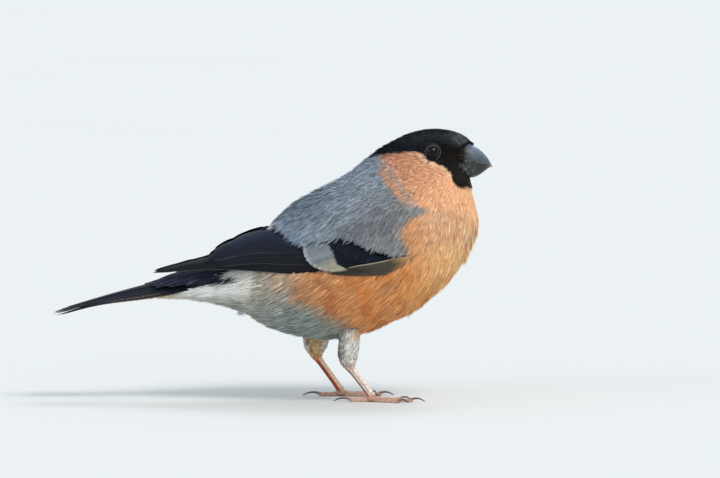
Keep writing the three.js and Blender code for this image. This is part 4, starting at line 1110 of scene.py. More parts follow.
def vane(place, path, up, low, thick=0.11, root=0.5, shoulder=0.22, tip_from=0.8, tip_power=0.5, camber=0.12, ridge=0.07, n=40,
         rng=None, ragged=0.03, off=0.0, off_tip=0.0, split=0):
    """One flat feather: place(a, b, off) gives the surface under plane coordinates a, b; path is its shaft; up and low are
    the widths of its two vanes. Returns vertices, quads, fans and, per vertex, share along, share across, distance along."""
    c, length = bend(path, n)
    tangent = np.gradient(c, axis=0)
    tangent /= np.linalg.norm(tangent, axis=1, keepdims=True)
    perp = np.stack([-tangent[:, 1], tangent[:, 0]], -1)
    perp[perp[:, 1] < 0] *= -1
    u = np.linspace(0, 1, n)
    grow = lerp(root, 1.0, smooth(u, 0, shoulder))
    q = np.clip((u - tip_from) / (1 - tip_from), 0, 1)
    w = grow * np.clip(1 - q ** (1 / tip_power if tip_power < 1 else 2), 0, 1) ** tip_power
    w[-1] = 0.02
    jag = 1 + (rng.normal(0, ragged, (n, 2)) if rng is not None else 0)
    for _ in range(split):
        i = rng.integers(int(0.35 * n), n - 3)
        jag[i, rng.integers(0, 2)] *= 0.86
    s = ACROSS[None, :]
    wide = np.where(s > 0, up * jag[:, :1], low * jag[:, 1:]) * w[:, None] * s
    # barbs sweep towards the tip, so the edge of each line lies further along
    ab = c[:, None, :] + perp[:, None, :] * wide[:, :, None]
    height = off + off_tip * u[:, None] - camber * s**2 * np.ones((n, 1)) + ridge * np.exp(-((s / 0.07) ** 2)) * (1 - u[:, None])
    m = len(ACROSS)
    th = thick * np.minimum(1.0, 0.25 + 1.6 * (1 - np.abs(s))) * np.minimum(1, 0.3 + 3 * (1 - u[:, None]))
    top = place(ab[..., 0].ravel(), ab[..., 1].ravel(), (height + th / 2).ravel()).reshape(n, m, 3)
    bot = place(ab[..., 0].ravel(), ab[..., 1].ravel(), (height - th / 2).ravel()).reshape(n, m, 3)
    rings = np.concatenate([top, bot[:, ::-1]], axis=1)
    k = 2 * m
    ends = np.stack([rings[0].mean(0), rings[-1].mean(0)])
    verts = np.vstack([rings.reshape(-1, 3), ends])
    quads, fans = tube_faces(n, k)
    sa = np.concatenate([ACROSS, ACROSS[::-1]])
    along = np.concatenate([np.repeat(u, k), [0, 1]])
    across = np.concatenate([np.tile(sa, n), [0, 0]])
    mm = along * length
    lateral = np.abs(across) * max(up, low)
    return verts, quads, fans, along, across, mm + lateral * 0.9


def join_vanes(name, list_of, material, stands_for=(), mirror=False, islands=None):
    """Joins vanes into one object. Each item is (vane, colour per vertex)."""
    V, Q, F, C, B, U = [], [], [], [], [], []
    base = 0
    cols = int(math.ceil(math.sqrt(len(list_of))))
    for j, (v, c) in enumerate(list_of):
        verts, quads, fans, along, across, barb = v
        V.append(verts * ([1, -1, 1] if mirror else [1, 1, 1]))
        q, f = (quads[:, ::-1], fans[:, ::-1]) if mirror else (quads, fans)
        Q.append(q + base)
        F.append(f + base)
        C.append(c)
        B.append(barb)
        cell = 1.0 / cols
        u0, v0 = (j % cols) * cell, (j // cols) * cell
        U.append(np.stack([u0 + cell * (0.06 + 0.88 * along), v0 + cell * (0.5 + 0.42 * across)], -1))
        base += len(verts)
    return make(name, np.vstack(V), [np.vstack(Q), np.vstack(F)], material, np.vstack(U), np.vstack(C), shade=True,
                stands_for=stands_for, extra={"barb": np.concatenate(B)})


def fixed_winding(v):
    """Turns a vane's faces outwards if they point in."""
    verts, quads, fans, along, across, barb = v
    a, b, c, d = (verts[quads[:, k]] for k in range(4))
    vol = (np.cross(a, b) * c).sum() + (np.cross(a, c) * d).sum()
    if vol < 0:
        return verts, quads[:, ::-1], fans[:, ::-1], along, across, barb
    return v


def barb_relief(scale, strength):
    """Fine parallel barbs across a vane, from the distance stored on it."""
    def add(nodes, links, bsdf, out, coords):
        at = nodes.new("ShaderNodeAttribute")
        at.attribute_name = "barb"
        wave = nodes.new("ShaderNodeMath")
        wave.operation = "MULTIPLY"
        wave.inputs[1].default_value = scale
        links.new(at.outputs["Fac"], wave.inputs[0])
        sine = nodes.new("ShaderNodeMath")
        sine.operation = "SINE"
        links.new(wave.outputs[0], sine.inputs[0])
        noise = nodes.new("ShaderNodeTexNoise")
        noise.inputs["Scale"].default_value = 2200
        links.new(coords.outputs["Object"], noise.inputs["Vector"])
        both = nodes.new("ShaderNodeMath")
        both.operation = "MULTIPLY_ADD"
        both.inputs[1].default_value = 0.8
        links.new(noise.outputs["Fac"], both.inputs[0])
        links.new(sine.outputs[0], both.inputs[2])
        bump = nodes.new("ShaderNodeBump")
        bump.inputs["Strength"].default_value = strength
        bump.inputs["Distance"].default_value = 0.00005
        links.new(both.outputs[0], bump.inputs["Height"])
        links.new(bump.outputs[0], bsdf.inputs["Normal"])
    return add


VANE = material("flight_feather", roughness=0.50, specular=0.15, spec_tint=(0.78, 0.88, 1.0), attribute="Col", tint=0.10, tint_scale=700, rough_vary=0.08,
                extra=barb_relief(22.0, 0.35))
VANE_SOFT = material("covert_feather", roughness=0.62, specular=0.10, sheen=0.0, spec_tint=(0.78, 0.88, 1.0), attribute="Col", tint=0.08, tint_scale=800,
                     rough_vary=0.08, extra=barb_relief(18.0, 0.45))

INK, INK_BLUE, INK_BROWN = linear((15, 16, 18)), linear((20, 28, 46)), linear((36, 33, 30))
TAN_EDGE = linear((108, 104, 94))

# shaft of each flight feather in the side view (drawing units), inner vane width, outer vane width in mm, blue share
FLIGHT = [
    # outermost primary first, each next one lies over it
    ([(345, 270.6), (300, 271.4), (250, 269.0), (215, 267.0), (180, 269.6), (153.5, 272.6)], 2.0, 0.8, 0.10),
    ([(342, 269.6), (295, 270.2), (245, 267.0), (205, 266.2), (175, 269.0), (158.0, 271.6)], 1.9, 0.9, 0.10),
    ([(340, 268.4), (295, 268.9), (245, 265.9), (210, 265.0), (180, 267.6), (163.0, 270.4)], 1.8, 0.9, 0.12),
    ([(338, 267.2), (295, 267.6), (245, 264.8), (210, 263.6), (185, 265.8), (170.0, 269.0)], 1.7, 0.9, 0.14),
    ([(336, 266.2), (295, 266.4), (245, 263.8), (213, 262.6), (192, 264.2), (178.0, 267.4)], 1.6, 0.9, 0.16),
    ([(334, 265.2), (295, 265.4), (245, 262.8), (215, 261.6), (198, 262.8), (187.0, 266.0)], 1.8, 0.9, 0.18),
    ([(332, 264.2), (295, 264.4), (250, 262.2), (220, 261.0), (196.0, 264.4)], 1.6, 0.9, 0.18),
    ([(330, 263.4), (295, 263.4), (252, 262.0), (225, 261.4), (204.0, 262.8)], 1.4, 0.9, 0.18),
    # secondaries
    ([(328, 262.8), (290, 262.6), (255, 263.4), (236, 264.8), (224.0, 266.6)], 2.2, 1.0, 0.16),
    ([(326, 261.2), (290, 261.0), (255, 261.6), (234, 263.2), (219.5, 265.4)], 2.3, 1.1, 0.18),
    ([(324, 259.6), (288, 259.0), (255, 259.6), (232, 261.4), (216.0, 263.8)], 2.4, 1.2, 0.20),
    ([(322, 257.4), (286, 256.6), (255, 257.2), (230, 259.4), (213.0, 262.2)], 2.5, 1.3, 0.22),
    ([(320, 255.0), (284, 253.8), (252, 254.6), (228, 257.2), (210.8, 260.4)], 2.6, 1.4, 0.26),
    # tertials
    ([(316, 251.0), (284, 248.0), (252, 248.4), (228, 252.8), (208.0, 259.4)], 1.7, 2.0, 0.45),
    ([(312, 246.0), (284, 241.6), (254, 240.8), (232, 245.4), (214.0, 253.6)], 1.4, 2.4, 0.65),
    ([(308, 242.0), (284, 237.0), (264, 233.6), (247, 237.0), (230.0, 246.0)], 1.2, 2.7, 0.80),
]
WING_BASE, WING_STEP = -0.42, 0.088


def flight_offset(x, layer):
    return WING_BASE * wing_half(x) / 1.2 + WING_STEP * layer * smooth(x, -60, -24)


def tucked(x, zv):
    """How deep wing feathers sink where the grey feathers of the shoulder lie over them."""
    return 1.5 * smooth(0.9 - below_border(x, zv), 0, 1.6) * smooth(x, 0.5, 3) * smooth(zv, 43.5, 45.5)


def feather_colour(v, blue, edge, rng, tip_dark=0.0, lower=True):
    verts, _, _, along, across, barb = v
    tone = np.exp(rng.normal(0, 0.05)) * (1 + 0.10 * np.sin(barb * 2.1 + rng.uniform(0, 6)) * 0.5)
    c = lerp(INK, INK_BLUE, blue) * tone[:, None]
    outer = -across if lower else across
    c = lerp(c, INK_BROWN, (0.35 * smooth(np.abs(across), 0.5, 1.0))[:, None])
    c = lerp(c, TAN_EDGE, (edge * smooth(outer, 0.86, 0.97) * smooth(along, 0.1, 0.3))[:, None])
    shaft = np.exp(-((across / 0.05) ** 2))
    c = lerp(c, c * 0.6, (0.5 * shaft)[:, None])
    # a faint lighter sheen along the rim that catches the sky
    return lerp(c, linear((62, 70, 84)), (0.30 * blue * smooth(across, 0.72, 0.95) * smooth(along, 0.1, 0.4))[:, None])


def build_wing(which):
    rng = rng_for("wing feathers")
    mirror = which == "left"
    items = []
    for layer, (path, up, low, blue) in enumerate(FLIGHT):
        pts = [side(*p) for p in path]

        def place(x, zv, off, layer=layer):
            return wing_from_side(x, zv, off + flight_offset(x, layer) - 0.6 * tucked(x, zv))

        primary = layer < 8
        v = fixed_winding(vane(place, pts, up, low, thick=0.10, n=46, rng=rng, ragged=0.012, split=2,
                               tip_from=0.72 if primary else 0.84, tip_power=0.62 if primary else 0.5, camber=0.06,
                               ridge=0.06, root=0.6))
        edge = [0.60, 0.0, 0.0, 0.0, 0.0, 0.0, 0.0, 0.10, 0.0, 0.34, 0.0, 0.0, 0.05, 0.34, 0.0, 0.0][layer]
        items.append((v, feather_colour(v, blue, edge, rng)))
    join_vanes(f"remiges_{which}", items, VANE, (f"wing_{which}",), mirror)

    # greater coverts: black with a pale tip that makes the bar; then the black median coverts over their roots
    items = []
    greater = [
        ([(398, 258.5), (378, 264.5), (353, 269.6)], 1.5, 1.1), ([(393, 256.5), (370, 263.6), (343, 270.4)], 1.7, 1.3),
        ([(387, 254.0), (362, 261.8), (333, 270.6)], 1.9, 1.5), ([(380, 251.0), (352, 259.6), (322, 269.2)], 2.1, 1.7),
        ([(372, 247.5), (344, 256.2), (313.5, 266.2)], 2.2, 1.8), ([(364, 243.5), (336, 251.6), (307.5, 261.4)], 2.3, 1.9),
        ([(356, 239.0), (330, 246.6), (304.0, 255.2)], 2.3, 1.9), ([(350, 234.0), (326, 241.6), (303.4, 249.2)], 2.2, 1.9),
    ]
    edge_x = Rows([[17.6], [18.8], [19.8], [20.6], [22.2], [24.2]], [-52.0, -49.3, -47.0, -44.9, -43.4, -42.4])
    flat = Rows([[c for p in path for c in side(*p)] + [up, low] for path, up, low in greater], np.arange(len(greater)))
    for j, row in enumerate(flat(np.linspace(0, len(greater) - 1, 13))):
        pts, up, low = row[:6].reshape(3, 2), row[6], row[7]

        def place(x, zv, off, j=j):
            return wing_from_side(x, zv, off + lerp(0.75, 1.05, smooth(x, 8, 22)) + 0.052 * j - tucked(x, zv))

        v = fixed_winding(vane(place, pts, up, low, thick=0.10, n=34, rng=rng, ragged=0.02, split=1, tip_from=0.74, tip_power=0.5,
                               camber=0.14, ridge=0.05, root=0.7))
        verts, _, _, along, across, barb = v
        x, zv = verts[:, 0], seen(verts)
        limit = edge_x(-zv)[:, 0]
        pale = smooth(limit - x + 0.25 * np.sin(barb * 9) + rng.normal(0, 0.1), -0.35, 0.35)
        warm = smooth(x * 0.5 - zv, -38.5, -33.0)
        bar = lerp(linear((122, 128, 134)), linear((158, 153, 132)), warm[:, None])
        bar = bar * (1 - 0.22 * smooth(np.abs(across), 0.0, 1.0) * (across > 0))[:, None]
        bar = lerp(bar, linear((120, 126, 134)), (0.45 * smooth(zv, 46.5, 50.5))[:, None])
        bar = bar * (1 + 0.05 * np.sin(barb * 7))[:, None]
        bar = bar * (math.exp(rng.normal(0, 0.10)) * (1 - 0.35 * smooth(-across, 0.45, 0.95)))[:, None]
        bar = lerp(bar, linear((198, 198, 190)), (0.55 * smooth(along, 0.90, 0.99) + 0.35 * smooth(across, 0.7, 0.95)).clip(0, 0.7)[:, None])
        bar = bar * (1 + rng.normal(0, 0.03, len(bar)))[:, None]
        c = feather_colour(v, 0.35, 0.12, rng)
        items.append((v, lerp(c, bar, pale[:, None])))
    median = [
        ([(401, 259.5), (391, 262.4), (379, 265.0)], 1.5, 1.1), ([(396, 254.0), (384, 258.6), (366, 262.6)], 1.9, 1.5),
        ([(389, 249.0), (374, 254.6), (354, 259.8)], 2.1, 1.7), ([(380, 243.5), (364, 249.6), (344, 255.8)], 2.2, 1.8),
        ([(370, 238.0), (354, 243.6), (336, 250.6)], 2.2, 1.8),
    ]
    for j, (path, up, low) in enumerate(median):
        pts = [side(*p) for p in path]

        def place(x, zv, off, j=j):
            return wing_from_side(x, zv, off + 1.62 + 0.05 * j - 1.3 * tucked(x, zv))

        v = fixed_winding(vane(place, pts, up, low, off=-0.8, off_tip=0.8, thick=0.09, n=24, rng=rng, ragged=0.03, split=1, tip_from=0.6, tip_power=0.5,
                               camber=0.2, ridge=0.04, root=0.7))
        c = feather_colour(v, 0.40, 0.0, rng)
        verts, _, _, along, across, barb = v
        c = c * (1 + 0.30 * np.sin(barb * 6.0 + j) * smooth(along, 0.2, 0.6))[:, None]
        # painted sheen: faint blue-grey rims and tips on the median coverts
        rim = smooth(along, 0.86, 0.97) + smooth(np.abs(across), 0.80, 0.97) * smooth(along, 0.4, 0.8)
        items.append((v, lerp(c, linear((74, 84, 100)), (0.09 * rim.clip(0, 1))[:, None])))
    # alula and primary coverts along the wing's leading edge, grey-brown with pale upper rims
    hand = [
        ([(411, 263.2), (401, 268.4), (386, 271.6), (330, 273.0)], 1.0, 0.8, 0.35),
        ([(412, 261.4), (400, 266.8), (384, 270.2), (340, 272.2)], 1.0, 0.8, 0.35),
        ([(413, 259.0), (399, 264.6), (384, 268.6), (350, 271.2)], 1.0, 0.8, 0.40),
        ([(414, 257.2), (398, 262.4), (384, 266.6), (358, 270.0)], 1.0, 0.8, 0.45),
        ([(414, 255.6), (397, 260.2), (374, 265.4), (346, 269.2)], 0.9, 0.7, 1.0),
    ]
    for j, (path, up, low, rim) in enumerate(hand):
        pts = [side(*p) for p in path]

        def place(x, zv, off, j=j):
            # before the wrist they run in under the breast's feathers
            p = wing_from_side(np.minimum(x, 42.4), zv, off + 1.25 + 0.12 * j)
            p[..., 0] = x
            p[..., 1] = p[..., 1] + 0.48 * np.maximum(x - 42.4, 0)
            return p

        v = fixed_winding(vane(place, pts, up, low, thick=0.10, n=28, rng=rng, ragged=0.02, tip_from=0.7, tip_power=0.5, camber=0.1,
                               ridge=0.05, root=0.12, shoulder=0.30))
        verts, _, _, along, across, barb = v
        c = np.tile(linear((75, 69, 59)), (len(verts), 1)) * (1 + 0.15 * np.sin(barb * 5))[:, None]
        c = lerp(linear((190, 144, 96)), c, smooth(along, 0.08, 0.38)[:, None])
        c = lerp(c, INK, (0.55 * smooth(along, 0.55, 1.0))[:, None])
        c = lerp(c, linear((176, 166, 144)), (rim * smooth(across, 0.55, 0.95) * 0.8)[:, None])
        items.append((v, c))
    join_vanes(f"wing_coverts_{which}", items, VANE_SOFT, (), mirror)

    # the wing's own body under the feathers
    n, m = 60, 9
    xs = np.linspace(42.0, -30.0, n)
    rings = []
    for k in range(2 * m):
        top = k < m
        v = lerp(0.14, 0.92, (k if top else 2 * m - 1 - k) / (m - 1))
        rim = 1 - (2 * v - 1) ** 6
        off = wing_half(xs) * (0.02 if top else -0.75) * rim + (-0.5 if top else -0.55) * wing_half(xs) * 0.7
        ty, tz, ly, lz, bulge, _ = wing_at(-xs).T
        long = np.maximum(np.hypot(ly - ty, lz - tz), 0.3)
        ny, nz = (tz - lz) / long, (ly - ty) / long
        out = bulge * 4 * v * (1 - v) + off
        rings.append(np.stack([xs, -(lerp(ty, ly, v) + ny * out), lerp(tz, lz, v) + nz * out], -1))
    rings = np.stack(rings, 1)
    verts = np.vstack([rings.reshape(-1, 3), rings[0].mean(0), rings[-1].mean(0)])
    if mirror:
        verts[:, 1] *= -1
    quads, fans = tube_faces(n, 2 * m)
    if not mirror:
        quads, fans = quads[:, ::-1], fans[:, ::-1]
    uv = np.stack([(verts[:, 0] + 40) / 90, (verts[:, 2] - 35) / 30], -1)
    make(f"wing_bed_{which}", verts, [quads, fans], VANE_SOFT, uv, np.tile(lerp(INK, INK_BLUE, 0.6), (len(verts), 1)),
         extra={"barb": verts[:, 0]})


for which in ("right", "left"):
    build_wing(which)


# ------------------------------------------------------------------------------------------------ tail
TAIL = dict(root_x=-12.0, root_z=44.0, tip_x=-71.6, tip_z=28.9, arch=1.0, root_half=4.6, tip_half=7.6, fall_root=3.2, fall_tip=0.1)
TAIL_LONG = math.hypot(TAIL["tip_x"] - TAIL["root_x"], TAIL["tip_z"] - TAIL["root_z"])


def tail_point(u, y, off):
    half = lerp(TAIL["root_half"], TAIL["tip_half"], u)
    x = lerp(TAIL["root_x"], TAIL["tip_x"], u)
    fall = lerp(TAIL["fall_root"], TAIL["fall_tip"], smooth((u - 0.35) / 0.6))
    z = lerp(TAIL["root_z"], TAIL["tip_z"], u) + TAIL["arch"] * np.sin(math.pi * np.clip(u, 0, 1)) - fall * (y / half) ** 2 + off
    return np.stack([x, y, z], -1)


def build_tail():
    rng = rng_for("tail feathers")
    items = []
    for rank in range(5, -1, -1):
        for s in (-1, 1):
            spread = (rank + 0.5) / 6
            far = 1 - (4.6 / 60) * max(0, 1 - rank / 2.6) ** 1.3 - (0.045 if rank == 5 else 0.02 if rank == 4 else 0)
            us = np.linspace(0.02, far, 8)
            half = lerp(TAIL["root_half"], TAIL["tip_half"], us)
            path = np.stack([us * TAIL_LONG, s * (spread * half - 0.4)], -1)
            outer, inner = (1.5 if rank == 5 else 1.9), 3.0
            up, low = (outer, inner) if s > 0 else (inner, outer)

            def place(along, y, off, rank=rank):
                return tail_point(along / TAIL_LONG, y, off - rank * 0.21 - (0.5 if rank > 3 else 0) * smooth(along / TAIL_LONG, 0.7, 0.95))

            v = fixed_winding(vane(place, path, up, low, thick=0.14, n=60, rng=rng, ragged=0.004, split=1, tip_from=0.86, tip_power=0.55,
                                   camber=0.08, ridge=0.10, root=0.55, shoulder=0.5))
            c = feather_colour(v, 0.38 if rank < 5 else 0.25, 0.0, rng)
            along, across = v[3], v[4]
            outward = across * s
            rim = smooth(outward, 0.84, 0.97) * smooth(along, 0.25, 0.5) * smooth(0.97 - along, 0, 0.1)
            # painted reflected light: tan dashes along the outer edge of the outermost feathers
            dash = smooth(along, 0.38, 0.44) * smooth(0.74 - along, 0, 0.05) * (0.55 + 0.45 * np.sin(along * 160 + rank * 2))
            c = lerp(c, linear((150, 128, 94)), (smooth(outward, 0.78, 0.95) * dash * (0.8 if rank == 5 else 0.4 if rank == 4 else 0))[:, None])
            # painted sheen: the central feathers, which lie uppermost, are bluer
            c = lerp(c, INK_BLUE * 1.25, (0.5 * smooth(2.5 - rank, 0, 2) * smooth(np.abs(across), 0.2, 0.8))[:, None])
            items.append((v, c))
    join_vanes("rectrices", items, VANE, ("tail",))

    # black upper tail coverts, in rows over the tail's base and round its flanks
    base = Rows([[46.2, 39.4, 8.4], [45.2, 38.8, 8.8], [43.9, 38.0, 8.2], [42.4, 37.0, 7.4], [40.9, 36.2, 6.4], [38.7, 35.4, 5.4],
                 [36.9, 34.2, 4.8]], [9.6, 15, 21, 27, 33, 39, 45])

    def covert_point(a, b, off):
        ang = b / 7.0
        top, under, half = base(a).T
        up = np.cos(ang)
        y = half * np.sin(ang)
        z = (top + under) / 2 + (top - under) / 2 * np.sign(up) * np.abs(up) ** 0.8 - 1.2 * (y / half) ** 2
        return np.stack([-a, y + off * np.sin(ang), z + off * up], -1)

    items = []
    rows = [(29, 12.5, 7, 1.05, 0.0), (24.5, 12.0, 8, 1.35, 0.12), (20.0, 11.5, 9, 1.6, 0.24), (16.0, 11.0, 9, 1.8, 0.36),
            (12.5, 10.5, 10, 1.95, 0.48), (9.5, 9.5, 10, 2.0, 0.60)]
    for root, length, count, span, lift in rows:
        for k in range(count):
            ang = (k - (count - 1) / 2) / ((count - 1) / 2) * span + rng.normal(0, 0.04)
            far = root + length * (1 - 0.16 * abs(ang)) + rng.normal(0, 0.5)
            drift = 0.12 * ang * 7
            path = [(root, ang * 7 * 0.97), (lerp(root, far, 0.5), ang * 7 + drift * 0.3), (far, ang * 7 + drift)]

            def place(a, b, off, lift=lift):
                return covert_point(a, b, off + 0.05 + lift)

            v = fixed_winding(vane(place, path, 1.9, 1.9, thick=0.08, n=22, rng=rng, ragged=0.08, split=3, tip_from=0.5, tip_power=0.55,
                                   camber=0.30, ridge=0.03, root=0.8))
            c = feather_colour(v, 0.55, 0.0, rng) * 0.9 + linear((38, 38, 58)) * 0.42
            along, across, barb = v[3], v[4], v[5]
            fleck = smooth(np.abs(across), 0.5, 0.9) * smooth(along, 0.3, 0.7) * smooth(np.sin(barb * 8 + k) + 0.5 * np.sin(across * 9 + k), -0.2, 0.8)
            c = lerp(c, linear((136, 134, 152)), (0.62 * fleck)[:, None])
            items.append((v, c))
    join_vanes("uppertail_coverts", items, VANE_SOFT)


build_tail()


# ------------------------------------------------------------------------------------------------ bill
# x | culmen z | tomium z | keel z | half-width
BILL = [
    [59.6, 84.6, 77.60, 73.3, 5.00], [61.9, 84.5, 77.70, 72.7, 5.00], [64.2, 83.8, 77.60, 72.4, 4.75], [66.9, 82.3, 77.45, 73.1, 4.00],
    [69.1, 80.3, 76.80, 74.6, 2.70], [70.6, 78.2, 76.20, 75.7, 1.35], [71.3, 76.9, 75.95, 75.9, 0.75],
]
bill_at = Rows([r[1:] for r in BILL], [r[0] for r in BILL])
BILL_TIP = (71.62, 75.9)


def bill_edge(x, edge):
    """The tomium: a gentle wave with small beads, dropping to the hook."""
    wave = 0.16 * np.sin((x - 60.0) * 1.35 + 0.6) * smooth(71 - x, 0, 1.5)
    return edge + wave + 0.035 * np.sin(x * 9.0) * smooth(70 - x, 0, 2)


def upper_point(x, a, off=0.0):
    """Upper half of the bill; a runs from 0 at one tomium to pi at the other, over the culmen."""
    top, edge, _, w = bill_at(x).T
    edge = bill_edge(x, edge) + 0.05
    rise = np.sin(np.clip(a, 0, math.pi)) ** 0.95
    # a flattened culmen ridge and cheeks that swell low
    y = w * np.cos(a) * (1 - 0.12 * rise)
    z = lerp(edge, top, rise)
    ny, nz = np.cos(a), np.sin(a)
    return np.stack([x, y + off * ny, z + off * nz], -1)


def lower_point(x, a, off=0.0):
    top, edge, keel, w = bill_at(x).T
    edge = bill_edge(x, edge) - 0.05
    w = np.maximum(w - 0.22, 0.3)
    rise = np.sin(np.clip(a, 0, math.pi)) ** 0.8
    y = w * np.cos(a) * (1 - 0.10 * rise)
    z = lerp(edge, np.minimum(keel, edge - 0.35), rise)
    return np.stack([x, y + off * np.cos(a), z - off * np.sin(a)], -1)


def bill_loft(point, last, sides=56, rings=90):
    s = np.linspace(0, 1, rings)
    xs = 59.7 + (last - 59.7) * (1 - (1 - s) ** 1.25)
    a = np.linspace(0, math.pi, sides)
    t, g = np.meshgrid(xs, a, indexing="ij")
    p = point(t.ravel(), g.ravel()).reshape(rings, sides, 3)
    # inner floor from one tomium to the other
    floor = []
    for k in range(1, 8):
        q = k / 8
        mid = lerp(p[:, -1], p[:, 0], q)
        sign = 1 if point is upper_point else -1
        mid[:, 2] += sign * 0.5 * math.sin(math.pi * q) * smooth(last - xs, 0, 2)
        floor.append(mid)
    ring = np.concatenate([p, np.stack(floor, 1)], 1)
    return xs, ring, a


def build_bill():
    rng = rng_for("bill")
    horn = material("bill_horn", roughness=0.46, specular=0.34, coat=0.05, coat_rough=0.2, attribute="Col", tint=0.16, tint_scale=700,
                    bump=0.45, bump_scale=1100, stretch=(0.35, 1, 1), rough_vary=0.10, subsurface=0.06)
    for name, point, last, part in (("upper_bill", upper_point, 71.3, "bill_upper"), ("lower_bill", lower_point, 70.5, "bill_lower")):
        xs, ring, a = bill_loft(point, last)
        rings, sides = ring.shape[:2]
        if name == "upper_bill":
            # the hook: the last rings draw in to a point just over the lower half
            for k in range(1, 8):
                u = k / 7
                last_ring = ring[-1] if k == 1 else keep_ring
                keep_ring = last_ring
                centre = np.array([BILL_TIP[0], 0.0, BILL_TIP[1] + 0.05])
                shrink = math.cos(u * math.pi / 2) ** 0.8
                r = centre + (keep_ring - keep_ring.mean(0)) * [0, shrink, shrink] + (keep_ring.mean(0) - centre) * (1 - u) ** 1.0
                ring = np.concatenate([ring, r[None]], 0)
        else:
            for k in range(1, 6):
                u = k / 5
                if k == 1:
                    keep_ring = ring[-1]
                centre = keep_ring.mean(0) + [0.35, 0, 0.10]
                shrink = math.cos(u * math.pi / 2) ** 0.8
                r = keep_ring.mean(0) + (centre - keep_ring.mean(0)) * math.sin(u * math.pi / 2) + (keep_ring - keep_ring.mean(0)) * [0, shrink, shrink]
                ring = np.concatenate([ring, r[None]], 0)
        n = len(ring)
        verts = np.vstack([ring.reshape(-1, 3), ring[0].mean(0), ring[-1].mean(0)])
        # growth lines, low and uneven, and a worn surface
        quads, fans = tube_faces(n, sides)
        a_, b_, c_, d_ = (verts[quads[:, k]] for k in range(4))
        if (np.cross(a_, b_) * c_).sum() + (np.cross(a_, c_) * d_).sum() < 0:
            quads, fans = quads[:, ::-1], fans[:, ::-1]
        x, y, z = verts.T
        row = bill_at(np.clip(x, 59.6, 71.3))
        if name == "upper_bill":
            h = np.clip((z - row[:, 1]) / np.maximum(row[:, 0] - row[:, 1], 0.3), 0, 1)
            base, mid, culmen, tip = linear((34, 36, 40)), linear((67, 77, 85)), linear((88, 104, 126)), linear((132, 116, 106))
            # painted sheen and highlight: the upper bill turns lighter and bluer towards the culmen, and a bright
            # painted highlight line runs along it
            c = lerp(mid, culmen, smooth(h, 0.40, 0.95)[:, None])
            c = lerp(c, linear((196, 210, 234)), (0.75 * smooth(h, 0.90, 0.985) * smooth(x, 62.6, 64.5) * smooth(70.6 - x, 0, 1.5))[:, None])
            fleck = 0.5 + 0.5 * np.sin(x * 5.3 + 2.0 * np.sin(z * 3.1)) * np.sin(z * 6.1 + 1.5 * np.sin(x * 2.7))
            nasal = smooth(66.6 - x - 2.2 * np.abs(h - 0.42), -1.0, 3.4)
            c = lerp(c, base * 0.7, (0.8 * nasal * smooth(fleck + nasal, 0.45, 1.25))[:, None])
            c = lerp(c, linear((126, 138, 144)), (0.5 * nasal * smooth(fleck, 0.78, 0.95) * smooth(x, 62.5, 64))[:, None])
            c = lerp(c, linear((50, 56, 60)), (0.6 * smooth(0.34 - h, 0, 0.25))[:, None])
            c = lerp(c, tip, (0.8 * smooth(x, 70.2, 71.5))[:, None])
            # painted highlights: a broken pale line along the tomium
            c = lerp(c, linear((168, 160, 146)), (0.42 * smooth(0.09 - h, 0, 0.05) * smooth(np.sin(x * 5.0 + 1.2 * np.sin(x * 2.0)), -0.1, 0.6))[:, None])
        else:
            h = np.clip((row[:, 1] - z) / np.maximum(row[:, 1] - row[:, 2], 0.3), 0, 1)
            dark, blotch, tip = linear((44, 47, 47)), linear((112, 116, 114)), linear((116, 104, 96))
            c = np.tile(dark, (len(verts), 1))
            spot = smooth(np.sin(x * 2.9 + 1.5 + np.sin(z * 3)) * np.sin(z * 2.6 + 0.7 * x), -0.1, 0.6) * smooth(67.5 - x, 0, 4)
            c = lerp(c, blotch, (0.75 * spot * smooth(h, 0.1, 0.35))[:, None])
            c = lerp(c, linear((150, 132, 96)), (0.5 * smooth(h, 0.86, 0.97) * smooth(x, 63.5, 65.5) * smooth(69 - x, 0, 2))[:, None])
            c = lerp(c, tip, (0.7 * smooth(x, 69.2, 70.8))[:, None])
            # painted highlights: a broken pale line along the tomium
            c = lerp(c, linear((150, 142, 130)), (0.5 * smooth(0.07 - h, 0, 0.05) * (0.5 + 0.5 * np.sin(x * 9.0 + 2)))[:, None])
        grain = 1 + 0.10 * np.sin(x * 2.1 + 2.2 * np.sin(z * 1.7)) + 0.09 * np.sin(z * 7 + x * 0.9) + 0.07 * np.sin(z * 17 + np.sin(x * 2) * 2)
        c = c * grain[:, None]
        ang = np.arctan2(z - row[:, 1], y)
        uv = np.stack([(x - 59) / 13, 0.5 + ang / TAU], -1)
        make(name, verts, [quads, fans], horn, uv, c, stands_for=(part,))

    # mouth lining closes the gap between the halves from inside
    xs = np.linspace(59.9, 69.8, 20)
    top, edge, keel, w = bill_at(xs).T
    edge = bill_edge(xs, edge)
    prof = np.stack([xs, w * 0.9], -1)
    verts = []
    for x, e, ww in zip(xs, edge, w * 0.88):
        for k in range(10):
            g = TAU * k / 10
            verts.append([x, ww * math.cos(g), e + 0.35 * math.sin(g)])
    verts = np.array(verts)
    verts = np.vstack([verts, verts[:10].mean(0), verts[-10:].mean(0)])
    quads, fans = tube_faces(20, 10)
    make("mouth", verts, [quads, fans], horn, None, np.tile(linear((30, 26, 26)), (len(verts), 1)))


build_bill()


# ------------------------------------------------------------------------------------------------ bristles round the bill
def feather_line(a, upper):
    """x where the face's feathers end on the bill, at angle a round it."""
    r = np.sin(np.clip(a, 0, math.pi))
    return np.where(upper, lerp(59.6, 64.3, r**1.15) + 1.7 * smooth(r, 0.94, 1.0), lerp(59.7, 60.7, r))


